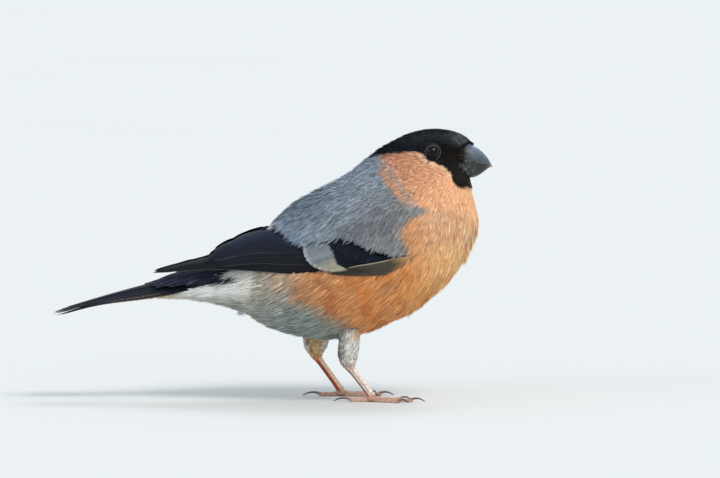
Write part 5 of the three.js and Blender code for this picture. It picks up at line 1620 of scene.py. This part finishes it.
def build_bristles():
    rng = rng_for("bristles")
    n = 4800
    upper = rng.random(n) < 0.62
    a = rng.uniform(0.0, math.pi, n)
    line = feather_line(a, upper) - 0.9
    long_one = rng.random(n) < 0.34
    low_side = upper & (np.sin(a) < 0.62)
    x0 = np.maximum(line - rng.uniform(0.0, 2.6, n), 59.25)
    long = np.where(upper, rng.uniform(1.2, 2.2, n), rng.uniform(0.8, 1.5, n))
    over = line + rng.uniform(-1.0, 0.8, n) + np.where(long_one & low_side, 4.6 * rng.random(n) ** 1.7, 0)
    long = np.where(long_one & low_side, long + 1.8, long)
    x2 = np.minimum(x0 + long, over)
    ok = x2 - x0 > 0.5
    upper, a, x0, x2, line = upper[ok], a[ok], x0[ok], x2[ok], line[ok]
    n = len(a)
    x1 = lerp(x0, x2, 0.5)
    # bristles of the upper half sweep down towards the tomium
    sweep = rng.normal(0.12, 0.08, n) * np.where(a < math.pi / 2, -1, 1) * np.where(upper, 1.0, 0.6)
    layer = rng.uniform(0.05, 0.75, n) * smooth(line + 1.0 - x0, 0.2, 2.4)
    a1, a2 = np.clip(a + sweep * 0.5, 0.02, 3.12), np.clip(a + sweep * 1.1, 0.02, 3.12)

    def at(x, ang, off):
        return np.where(upper[:, None], upper_point(x, ang, off), lower_point(x, ang, off))

    root = at(x0, a, 0.05 + layer * 0.7)
    mid = at(x1, a1, 0.16 + layer)
    tip = at(x2, a2, 0.14 + layer * 0.45 + rng.uniform(0, 0.25, n))
    along = unit(tip - root)
    out = at(x1, a1, 0.5) - at(x1, a1, 0.0)
    across = unit(np.cross(out, along))
    tone = np.exp(rng.normal(0, 0.35, n))[:, None]
    brown = rng.random(n)[:, None]
    base = lerp(linear((20, 18, 18)), linear((66, 58, 50)), brown * 0.6) * tone
    colours = (base * 0.6, base, np.clip(base * 1.5, 0, 0.5))
    p = mid
    u, v = 0.96 + 0.02 * rng.random(n), 0.06 + 0.6 * (np.arctan2(p[:, 2] - 78, p[:, 1]) / TAU + 0.5)
    b = np.stack([u, v], -1)
    side_step = np.tile([0.00012, 0.0], (n, 1))
    verts, faces, col, uv = barb_mesh(root, mid, tip, across, unit(out) * 0.02, rng.uniform(0.05, 0.11, n), colours,
                                      (b + [0, -0.0014], b, b + [0, 0.0014], side_step))
    make("bill_bristles", verts, faces, COAT_DARK, uv, col, shade=False)
    print("bristles", n)


build_bristles()


def build_plush():
    """Short plush feathers that close the ring between the bill and the face, and the fluffy bib below the bill."""
    rng = rng_for("plush")
    n = 5200
    upper = rng.random(n) < 0.58
    a = rng.uniform(0.0, math.pi, n)
    line = feather_line(a, upper) - 0.9
    x0 = line - rng.uniform(0.0, 0.9, n)
    back = rng.uniform(1.3, 3.0, n)
    turn = rng.normal(0, 0.12, n)
    a1, a2 = np.clip(a + turn * 0.5, 0.01, 3.13), np.clip(a + turn, 0.01, 3.13)
    out = rng.uniform(0.5, 1.0, n)

    def at(x, ang, off):
        return np.where(upper[:, None], upper_point(x, ang, off), lower_point(x, ang, off))

    root, mid, tip = at(x0, a, -0.1 + 0 * a), at(x0 - back * 0.35, a1, 0.45 + out * 0.35), at(x0 - back, a2, 0.75 + out * 0.75)
    along = unit(tip - root)
    lift = at(x0, a, 0.5 + 0 * a) - at(x0, a, 0 * a)
    across = unit(np.cross(lift, along))
    tone = np.exp(rng.normal(0, 0.3, n))[:, None]
    base = lerp(FACE_BLACK * 1.2, linear((82, 72, 60)), rng.random(n)[:, None] ** 2 * 0.8) * tone
    u, v = 0.965 + 0.02 * rng.random(n), 0.06 + 0.6 * (np.arctan2(mid[:, 2] - 78, mid[:, 1]) / TAU + 0.5)
    b = np.stack([u, v], -1)
    side_step = np.tile([0.00012, 0.0], (n, 1))
    verts, faces, col, uv = barb_mesh(root, mid, tip, across, unit(lift) * 0.02, rng.uniform(0.10, 0.18, n), (base * 0.5, base, base * 1.3),
                                      (b + [0, -0.0014], b, b + [0, 0.0014], side_step))
    make("face_plush", verts, faces, COAT_DARK, uv, col, shade=False)

    # bib: soft strands from under the bill down over the throat's edge
    def lie(p, n_):
        d = np.tile([[-0.10, 0.0, -1.0]], (len(p), 1)) + smooth(p[:, 0], 61, 63.5)[:, None] * [0.30, 0, 0]
        d = d - (d * n_).sum(1, keepdims=True) * n_
        return unit(d + 0.05)

    t, ang = scatter(body_point, (0.90, 0.992), lambda p, n_: np.where((p[:, 0] > 58.0) & (p[:, 2] < 74.6) & (p[:, 2] > 69.6), 0.42, 0.0), rng)
    p, n_, _, _ = frame_of(body_point, t, ang)
    L = rng.uniform(2.4, 3.8, len(t))
    g = tufts(body_point, t, ang, lie, L, L * 0.7, np.full(len(t), 9), np.full(len(t), 0.45), np.full(len(t), 0.13), rng, loose=0.55,
              loose_lift=(0.3, 1.7), height=0.40 + 1.45 * smooth(p[:, 0], 61.0, 63.4) * smooth(p[:, 2], 71.0, 72.6))
    m = len(g["f"])
    base = np.tile(FACE_BLACK, (m, 1)) * np.exp(rng.normal(0, 0.3, m))[:, None]
    patch = lambda tt, aa: (0.04 + 0.90 * np.clip(tt, 0, 1), 0.02 + 0.72 * (aa % TAU) / TAU)
    in_bib = signed_distance(g["root"][:, 0], seen(g["root"]), CAP) > 0.5
    in_bib &= signed_distance(g["tip"][:, 0], seen(g["tip"]), CAP) > rng.uniform(-1.3, 0.2, m)
    coat_pieces("bib_plush", g, (base * 0.6, base, base * 1.4), in_bib, patch, COAT_DARK)
    print("plush", n + m)
    # one loose white tuft under the tail
    n = 110
    root = np.array([-10.1, -2.4, 29.5]) + rng.normal(0, 0.30, (n, 3))
    d = unit(np.array([-0.25, -0.10, -0.9]) + rng.normal(0, 0.40, (n, 3)))
    long = rng.uniform(1.0, 2.4, n)[:, None]
    mid, tip = root + d * long * 0.5, root + d * long + np.array([-0.4, 0, 0.1])
    across = unit(np.cross(d, [0, 1.0, 0.2]))
    base = np.tile(linear((226, 236, 244)), (n, 1)) * rng.uniform(0.85, 1.05, n)[:, None].clip(0, 1)
    b = np.tile([0.30, 0.40], (n, 1)) + rng.uniform(-0.001, 0.001, (n, 2))
    verts, faces, col, uv = barb_mesh(root, mid, tip, across, np.tile([0, -0.02, 0], (n, 1)), np.full(n, 0.17), (base * 0.8, base, base),
                                      (b + [0, -0.0014], b, b + [0, 0.0014], np.tile([0.00012, 0.0], (n, 1))))
    make("loose_tuft", verts, faces, COAT, uv, col, shade=False)


build_plush()


# ------------------------------------------------------------------------------------------------ eyes
def build_eyes():
    glass = material("eye_ball", roughness=0.03, specular=0.28, ior=1.38, attribute="Col")
    lid_skin = material("eye_lid", roughness=0.7, specular=0.12, attribute="Col", tint=0.12, tint_scale=2500, bump=0.5, bump_scale=5000)
    for name, s in (("right", -1), ("left", 1)):
        c = np.array([EYE["x"], s * EYE["y"], EYE["z"]])
        axis = unit(np.array([EYE["axis"][0], s * EYE["axis"][1], EYE["axis"][2]]))
        e1 = unit(np.array([0, 0, 1.0]) - axis[2] * axis)
        e2 = np.cross(axis, e1)
        rings, sides = 64, 72
        th = np.linspace(0.02, math.pi - 0.02, rings)
        ph = np.arange(sides) / sides * TAU
        T, P = np.meshgrid(th, ph, indexing="ij")
        T, P = T.ravel(), P.ravel()
        r = EYE["r"] * (1 + 0.045 * np.exp(-((T / 0.42) ** 2)))
        dirs = np.cos(T)[:, None] * axis + np.sin(T)[:, None] * (np.cos(P)[:, None] * e1 + np.sin(P)[:, None] * e2)
        verts = c + dirs * r[:, None]
        d = EYE["r"] * np.sin(np.clip(T, 0, math.pi / 2))
        pupil = 1 - smooth(d, 1.15, 1.30)
        ray = 1 + 0.25 * np.sin(P * 37 + 3 * np.sin(P * 5)) * smooth(d, 1.2, 1.8)
        iris = linear((22, 14, 10)) * ray[:, None]
        iris = lerp(iris, linear((20, 14, 12)), smooth(d, 1.75, 2.05)[:, None])
        col = lerp(iris, linear((5, 5, 6)), pupil[:, None])
        verts = np.vstack([verts, c + axis * r[0], c - axis * EYE["r"]])
        col = np.vstack([col, linear((5, 5, 6)), linear((20, 14, 12))])
        quads, fans = tube_faces(rings, sides)
        p0, p1, p2 = verts[quads[:, 0]], verts[quads[:, 1]], verts[quads[:, 2]]
        if ((np.cross(p1 - p0, p2 - p0)) * (p0 - c)).sum() < 0:
            quads, fans = quads[:, ::-1], fans[:, ::-1]
        uv = np.stack([0.5 + 0.45 * np.append(T, [0, math.pi]) / math.pi * np.cos(np.append(P, [0, 0])),
                       0.5 + 0.45 * np.append(T, [0, math.pi]) / math.pi * np.sin(np.append(P, [0, 0]))], -1)
        make(f"eyeball_{name}", verts, [quads, fans], glass, uv, col, stands_for=(f"eye_{name}",))

        # the lids: a scalloped rim of bare skin round the opening, running back under the face feathers
        n, m = 120, 14
        around = np.arange(n) / n * TAU
        bead = 0.5 + 0.5 * np.cos(around * 30)
        # the opening is slightly longer than high
        open_r = EYE["opening"] * (1 + 0.035 * np.cos(2 * (around - math.pi / 2)))
        profile = [(-0.12, -0.35), (-0.12, -0.05), (-0.07, 0.05), (0.0, 0.10), (0.08, 0.11), (0.15, 0.14), (0.22, 0.12), (0.34, -0.02),
                   (1.05, -0.75), (1.05, -1.00), (0.9, -1.05), (0.5, -0.9), (0.2, -0.8), (0.0, -0.6)]
        pts = []
        for k, (dr, dh) in enumerate(profile):
            rr = open_r + dr + (0.03 * bead if 4 <= k <= 6 else 0)
            hh = np.sqrt(np.maximum(EYE["r"] ** 2 - np.minimum(open_r, EYE["r"]) ** 2, 0)) + dh + (0.05 * bead if 4 <= k <= 6 else 0)
            pts.append(c + axis * hh[:, None] + rr[:, None] * (np.cos(around)[:, None] * e1 + np.sin(around)[:, None] * e2))
        pts = np.stack(pts, 1)
        verts = pts.reshape(-1, 3)
        i, k = np.meshgrid(np.arange(n), np.arange(m), indexing="ij")
        a0, b0 = i * m + k, i * m + (k + 1) % m
        a1, b1 = ((i + 1) % n) * m + k, ((i + 1) % n) * m + (k + 1) % m
        quads = np.stack([a0, b0, b1, a1], -1).reshape(-1, 4)
        mid = verts.mean(0)
        p0, p1, p2, p3 = (verts[quads[:, q]] for q in range(4))
        if (np.cross(p0 - mid, p1 - mid) * (p2 - mid)).sum() + (np.cross(p0 - mid, p2 - mid) * (p3 - mid)).sum() < 0:
            quads = quads[:, ::-1]
        rim = np.array([0, 0, 0.0, 0.04, 0.12, 0.9, 0.7, 0.04, 0, 0, 0, 0, 0, 0])
        col = lerp(linear((14, 13, 12)), linear((108, 108, 102)), (np.tile(rim, n) * (0.62 + 0.38 * np.repeat(bead, m)))[:, None])
        uv = np.stack([np.repeat(around / TAU, m), np.tile(np.arange(m) / m, n)], -1)
        make(f"eyelids_{name}", verts, quads, lid_skin, uv, col)


build_eyes()


# ------------------------------------------------------------------------------------------------ tarsi, toes and claws
TOES = {"inner": (10.4, -27, 3.9), "middle": (13.2, 2, 4.6), "outer": (10.8, 30, 3.9), "hind": (7.8, 176, 5.6)}


def saw(v):
    """A rising ramp that drops at each whole number: one overlapping scute after another."""
    f = v - np.floor(v)
    return f * smooth(1 - f, 0, 0.14)


def skin_tube(axis, fore, across, r_fore, r_side, sides):
    """Rings of points round an axis; returns rings as (n, sides, 3) and their angles, 0 facing fore."""
    g = np.arange(sides) / sides * TAU
    return (axis[:, None] + fore[:, None] * (np.cos(g) * r_fore)[:, :, None] + across[:, None] * (np.sin(g) * r_side)[:, :, None]), g


def closed(rings):
    n, k = rings.shape[:2]
    verts = np.vstack([rings.reshape(-1, 3), rings[0].mean(0), rings[-1].mean(0)])
    quads, fans = tube_faces(n, k)
    a, b, c, d = (verts[quads[:, j]] - verts.mean(0) for j in range(4))
    if (np.cross(a, b) * c).sum() + (np.cross(a, c) * d).sum() < 0:
        quads, fans = quads[:, ::-1], fans[:, ::-1]
    return verts, quads, fans


def build_legs():
    rng = rng_for("legs")
    scale = material("leg_scutes", roughness=0.42, specular=0.45, attribute="Col", tint=0.12, tint_scale=1500, bump=0.35, bump_scale=3500,
                     subsurface=0.25, rough_vary=0.08)
    horn = material("claw_horn", roughness=0.32, specular=0.5, coat=0.2, coat_rough=0.2, attribute="Col", tint=0.10, tint_scale=1200,
                    bump=0.2, bump_scale=2600)
    for which, leg in LEGS.items():
        s = leg["side"]
        ankle, joint = leg_place(leg, "ankle"), leg_place(leg, "joint")
        near = which == "right"
        pink, brown, rust, pale = linear((210, 176, 158)), linear((96, 76, 66)), linear((176, 104, 78)), linear((232, 216, 204))
        # shank
        axis_dir = unit(joint - ankle)
        across = unit(np.array([0, 1.0, 0]) - axis_dir[1] * axis_dir)
        fore = np.cross(across, axis_dir)
        if fore[0] < 0:
            fore = -fore
        n, k = 150, 48
        u = np.linspace(-0.06, 1.0, n)
        swell = 1 + 0.22 * np.exp(-((u / 0.14) ** 2)) + 0.12 * np.exp(-(((u - 1) / 0.16) ** 2))
        swell = swell * np.where(u < -0.02, 0.9, 1)
        g = np.arange(k) / k * TAU
        front = smooth(np.cos(g), -0.15, 0.45)
        scutes = 7.5
        step = saw(u * scutes + 0.2)[:, None] * 0.075 * front[None]
        groove = -0.07 * np.exp(-((((u * scutes + 0.2) % 1.0) - 0.03) / 0.05) ** 2)[:, None] * front[None]
        back = 0.05 * np.exp(-((np.abs(g - math.pi) / 0.30) ** 2))[None] - 0.05 * np.exp(-(((np.abs(g - math.pi) - 0.85) / 0.14) ** 2))[None]
        mesh = 0.02 * np.sin(u * 95)[:, None] * np.sin(g * 7)[None] * (1 - front)[None]
        rel = 1 + (step + groove + back + mesh) * 1.0
        rf, rs = 1.12 * swell[:, None] * rel, 0.82 * swell[:, None] * rel
        axis = ankle + (joint - ankle) * u[:, None]
        rings, _ = skin_tube(axis, np.tile(fore, (n, 1)), np.tile(across, (n, 1)), rf, rs, k)
        rings[..., 2] = np.maximum(rings[..., 2], 0.02)
        verts, quads, fans = closed(rings)
        uu, gg = np.meshgrid(u, g, indexing="ij")
        uu, gg = uu.ravel(), gg.ravel()
        fr = smooth(np.cos(gg), -0.15, 0.45)
        if near:
            c = lerp(pale, pink, (0.6 * smooth(np.cos(gg - 0.6), -0.2, 1.0))[:, None])
            mark = np.exp(-(((np.cos(gg) - 0.08 - 0.12 * np.sin(uu * 21.0)) / 0.26) ** 2))
            c = lerp(c, brown, (0.70 * mark * (0.78 + 0.22 * np.sin(uu * 46.0 + 2.0 * np.sin(uu * 17.0))))[:, None])
            c = lerp(c, linear((206, 160, 130)), (0.6 * smooth(0.22 - uu, 0, 0.2))[:, None])
            # painted shade: the back of the shank is darker
            c = lerp(c, linear((112, 66, 48)), (0.85 * smooth(-np.cos(gg), 0.30, 0.75))[:, None])
        else:
            # far shank: painted light and shade, a pale cream front as if lit and a red-brown back as if shaded and
            # backlit, darkest at the back edge
            c = lerp(linear((172, 66, 34)), linear((252, 232, 200)), smooth(np.cos(gg), -0.22, 0.12)[:, None])
            c = lerp(c, linear((196, 128, 76)), (0.55 * np.exp(-((np.cos(gg) + 0.02) / 0.16) ** 2))[:, None])
            c = lerp(c, linear((88, 40, 26)), (0.75 * smooth(-np.cos(gg), 0.70, 0.97))[:, None])
            c = lerp(c, linear((176, 122, 70)), (0.65 * smooth(np.sin(gg * 5.0), 0.2, 0.9) * smooth(np.sin(uu * 88), -0.2, 0.8) * fr)[:, None])
            c = lerp(c, linear((210, 128, 56)), (0.75 * smooth(0.16 - uu, 0, 0.16))[:, None])
        line = np.exp(-((((uu * scutes + 0.2) % 1.0) - 0.03) / 0.07) ** 2) * fr
        c = lerp(c, linear((120, 84, 62)), (0.65 * line)[:, None])
        c = lerp(c, rust, (0.55 * smooth(uu, 0.86, 1.0) + 0.35 * smooth(0.06 - uu, 0, 0.1))[:, None])
        c = np.vstack([c, c[0], c[-1]])
        uv = np.vstack([np.stack([uu * 0.9 + 0.07, gg / TAU], -1), [[0.0, 0.5], [1.0, 0.5]]])
        make(f"shank_{which}", verts, [quads, fans], scale, uv, c, stands_for=(f"tarsus_{which}",))

        # toes and claws
        V, Q, F, C, U = [], [], [], [], []
        CV, CQ, CF, CC, CU = [], [], [], [], []
        base = cbase = 0
        for j, (toe, (length, turn, claw)) in enumerate(TOES.items()):
            ang = math.radians(s * leg["heading"] + s * turn)
            d = np.array([math.cos(ang), math.sin(ang), 0.0])
            w = np.array([-math.sin(ang), math.cos(ang), 0.0])
            up = np.array([0, 0, 1.0])
            n, k = 120, 36
            u = np.linspace(0.0, 1.0, n)
            lift = 0.75 * (1 - np.minimum(1, u / 0.3)) ** 2
            phal = {"inner": 3, "middle": 3.6, "outer": 4.4, "hind": 2.2}[toe]
            pad = 0.07 * np.cos(TAU * phal * u)
            r = lerp(0.90, 0.60, u) - pad * 0.9
            r = r * np.where(u > 0.84, np.sqrt(np.clip(1 - ((u - 0.84) / 0.175) ** 2, 0.12, 1)), 1)
            g = np.arange(k) / k * TAU
            top = smooth(np.cos(g), 0.0, 0.55)
            rows = {"inner": 10, "middle": 13, "outer": 12, "hind": 8}[toe]
            step = saw(u * rows)[:, None] * 0.11 * top[None]
            groove = -0.075 * np.exp(-(((u * rows) % 1.0 - 0.04) / 0.07) ** 2)[:, None] * top[None]
            under = smooth(-np.cos(g), 0.2, 0.8)
            papilla = 0.05 * np.sin(u * rows * 2.6 * TAU / 2)[:, None] * np.cos(g * 6)[None] * under[None]
            bulge = 0.16 * np.cos(TAU * phal * u + math.pi)[:, None] * under[None]
            rel = 1 + step + groove + papilla + bulge
            place = joint + d * (length * u)[:, None]
            place[:, 2] = lerp(0.66, 0.50, u) + lift
            sway = 0.10 * np.sin(u * math.pi * 2 + j)
            place = place + w * sway[:, None]
            rings, _ = skin_tube(place, np.tile(up, (n, 1)), np.tile(w, (n, 1)), r[:, None] * rel, r[:, None] * rel * 0.98, k)
            rings[..., 2] = np.maximum(rings[..., 2], 0.0)
            verts, quads, fans = closed(rings)
            uu, gg = np.meshgrid(u, g, indexing="ij")
            uu, gg = uu.ravel(), gg.ravel()
            tp = smooth(np.cos(gg), -0.1, 0.5)
            c = lerp(linear((204, 168, 148)) if near else linear((204, 162, 134)), linear((182, 146, 126)), tp[:, None])
            c = lerp(c, linear((112, 80, 66)), (0.7 * np.exp(-(((uu * rows) % 1.0 - 0.04) / 0.10) ** 2) * tp)[:, None])
            c = lerp(c, linear((164, 112, 90)), (0.30 * np.exp(-((((uu * phal) % 1.0) - 0.5) / 0.12) ** 2))[:, None])
            c = lerp(c, linear((146, 112, 98)), (0.4 * smooth(uu, 0.75, 1.0))[:, None])
            c = np.vstack([c, c[0], c[-1]])
            V.append(verts)
            Q.append(quads + base)
            F.append(fans + base)
            C.append(c)
            U.append(np.vstack([np.stack([0.02 + 0.23 * j + 0.2 * gg / TAU, 0.05 + 0.9 * uu], -1), [[0.1 + 0.23 * j, 0.03], [0.1 + 0.23 * j, 0.97]]]))
            base += len(verts)
            # claw
            n2, k2 = 60, 28
            q = np.linspace(0.0, 1.0, n2)
            dd = length - 0.9 + (claw + 0.3) * q
            z = 0.72 + 0.80 * np.sin(math.pi * np.minimum(1, 1.05 * q) * 0.75) - 1.05 * q**2
            rad = lerp(0.58, 0.17, q**0.8) * np.where(q > 0.9, np.sqrt(np.clip(1 - ((q - 0.9) / 0.104) ** 2, 0.03, 1)), 1)
            slope = np.gradient(z, dd)
            tangent = unit(np.stack([np.ones(n2), slope], -1))
            upv = -tangent[:, 1:2] * d + tangent[:, :1] * up
            place = joint + d * dd[:, None] + w * sway[-1]
            place[:, 2] = np.maximum(z, rad * 0.8 + 0.02)
            gg2 = np.arange(k2) / k2 * TAU
            keel = 1 - 0.16 * smooth(-np.cos(gg2), 0.3, 0.9)
            rings, _ = skin_tube(place, upv, np.tile(w, (n2, 1)), (rad * 0.95)[:, None] * keel[None], (rad * 0.8)[:, None] * np.ones(k2)[None], k2)
            rings[..., 2] = np.maximum(rings[..., 2], 0.0)
            verts, quads, fans = closed(rings)
            qq, _ = np.meshgrid(q, gg2, indexing="ij")
            qq = qq.ravel()
            c = lerp(linear((132, 106, 92)), linear((50, 43, 40)), smooth(qq, 0.0, 0.8)[:, None])
            c = np.vstack([c, c[0], c[-1]])
            CV.append(verts)
            CQ.append(quads + cbase)
            CF.append(fans + cbase)
            CC.append(c)
            CU.append(np.vstack([np.stack([0.02 + 0.23 * j + 0.2 * np.tile(gg2 / TAU, n2), 0.05 + 0.9 * qq], -1),
                                 [[0.1 + 0.23 * j, 0.03], [0.1 + 0.23 * j, 0.97]]]))
            cbase += len(verts)
        # palm
        n, k = 30, 32
        th = np.linspace(0.04, math.pi - 0.04, n)
        g = np.arange(k) / k * TAU
        T, G = np.meshgrid(th, g, indexing="ij")
        head = math.radians(s * leg["heading"])
        fx, fy = np.array([math.cos(head), math.sin(head), 0]), np.array([-math.sin(head), math.cos(head), 0])
        bump = 1 + 0.03 * np.sin(T * 19) * np.sin(G * 11)
        p = (joint * [1, 1, 0] + [0, 0, 1.0] + fx * (1.9 * np.sin(T) * np.cos(G) * bump)[..., None] + fy * (1.7 * np.sin(T) * np.sin(G) * bump)[..., None]
             + np.array([0, 0, 1.0]) * (1.05 * np.cos(T) * bump)[..., None])
        p[..., 2] = np.maximum(p[..., 2], 0.0)
        verts, quads, fans = closed(p)
        V.append(verts)
        Q.append(quads + base)
        F.append(fans + base)
        C.append(np.tile(linear((184, 136, 114)), (len(verts), 1)))
        U.append(np.vstack([np.stack([0.95 + 0.04 * G.ravel() / TAU, 0.05 + 0.9 * T.ravel() / math.pi], -1), [[0.97, 0.03], [0.97, 0.97]]]))
        make(f"toes_{which}", np.vstack(V), [np.vstack(Q), np.vstack(F)], scale, np.vstack(U), np.vstack(C),
             stands_for=(f"foot_{which}",))
        make(f"claws_{which}", np.vstack(CV), [np.vstack(CQ), np.vstack(CF)], horn, np.vstack(CU), np.vstack(CC))


build_legs()


# ------------------------------------------------------------------------------------------------ stage and camera
def build_stage():
    n = 96
    ang = np.arange(n) / n * TAU
    rings = [0.0, 60, 120, 240, 500, 1200, 3000, 7000, 14000]
    verts = [[0, 0, -0.02]]
    for r in rings[1:]:
        verts += [[r * math.cos(q), r * math.sin(q), -0.02] for q in ang]
    verts = np.array(verts)
    i = np.arange(n)
    fan = np.stack([np.zeros(n, int), 1 + i, 1 + (i + 1) % n], -1)
    quads = []
    for k in range(len(rings) - 2):
        a = 1 + k * n + i
        b = 1 + k * n + (i + 1) % n
        quads.append(np.stack([a, a + n, b + n, b], -1))
    me = bpy.data.meshes.new("floor")
    me.from_pydata((verts * MM).tolist(), [], [list(map(int, f)) for f in list(fan) + list(np.vstack(quads))])
    floor = bpy.data.objects.new("floor", me)
    bpy.context.scene.collection.objects.link(floor)
    me.materials.append(material("floor_paper", roughness=0.95, specular=0.05, colour=FLOOR, tint=0.012, tint_scale=3.0))

    world = bpy.data.worlds.new("studio")
    bpy.context.scene.world = world
    world.use_nodes = True
    bg = world.node_tree.nodes["Background"]
    bg.inputs["Color"].default_value = (*WORLD, 1)
    bg.inputs["Strength"].default_value = WORLD_POWER

    def sun(name, toward, power, colour, size):
        data = bpy.data.lights.new(name, "SUN")
        data.energy, data.color, data.angle = power, colour, math.radians(size)
        ob = bpy.data.objects.new(name, data)
        ob.rotation_mode = "QUATERNION"
        ob.rotation_quaternion = Vector(toward).normalized().to_track_quat("Z", "Y")
        bpy.context.scene.collection.objects.link(ob)

    for args in SUNS:
        sun(*args)

    cam = bpy.data.cameras.new("camera")
    cam.lens, cam.sensor_width = 400.0, 36.0
    ob = bpy.data.objects.new("camera", cam)
    elev = math.radians(3.5)
    reach = 720 / 3.06 * cam.lens / cam.sensor_width * MM
    target = Vector((28.43, 0.0, 52.39)) * MM
    back = Vector((0, -math.cos(elev), math.sin(elev)))
    ob.location = target + back * reach
    ob.rotation_mode = "QUATERNION"
    ob.rotation_quaternion = (-back).to_track_quat("-Z", "Y")
    cam.clip_start, cam.clip_end = 0.1, 60
    bpy.context.scene.collection.objects.link(ob)
    bpy.context.scene.camera = ob
    view = bpy.context.scene.view_settings
    view.view_transform, view.look, view.exposure, view.gamma = "Standard", "None", 0.0, 1.0


FLOOR = (0.60, 0.61, 0.60)
WORLD = (0.86, 0.93, 1.0)
WORLD_POWER = 0.78
# name, direction towards the light, strength, colour, apparent size in degrees
SUNS = [
    ("key", (0.52, -0.66, 1.05), 2.0, (1.0, 0.97, 0.92), 26),
    ("fill", (-0.75, -0.60, 0.45), 0.35, (0.85, 0.92, 1.0), 24),
    ("rim", (0.30, 0.60, 0.85), 0.9, (0.86, 0.93, 1.0), 24),
]
build_stage()
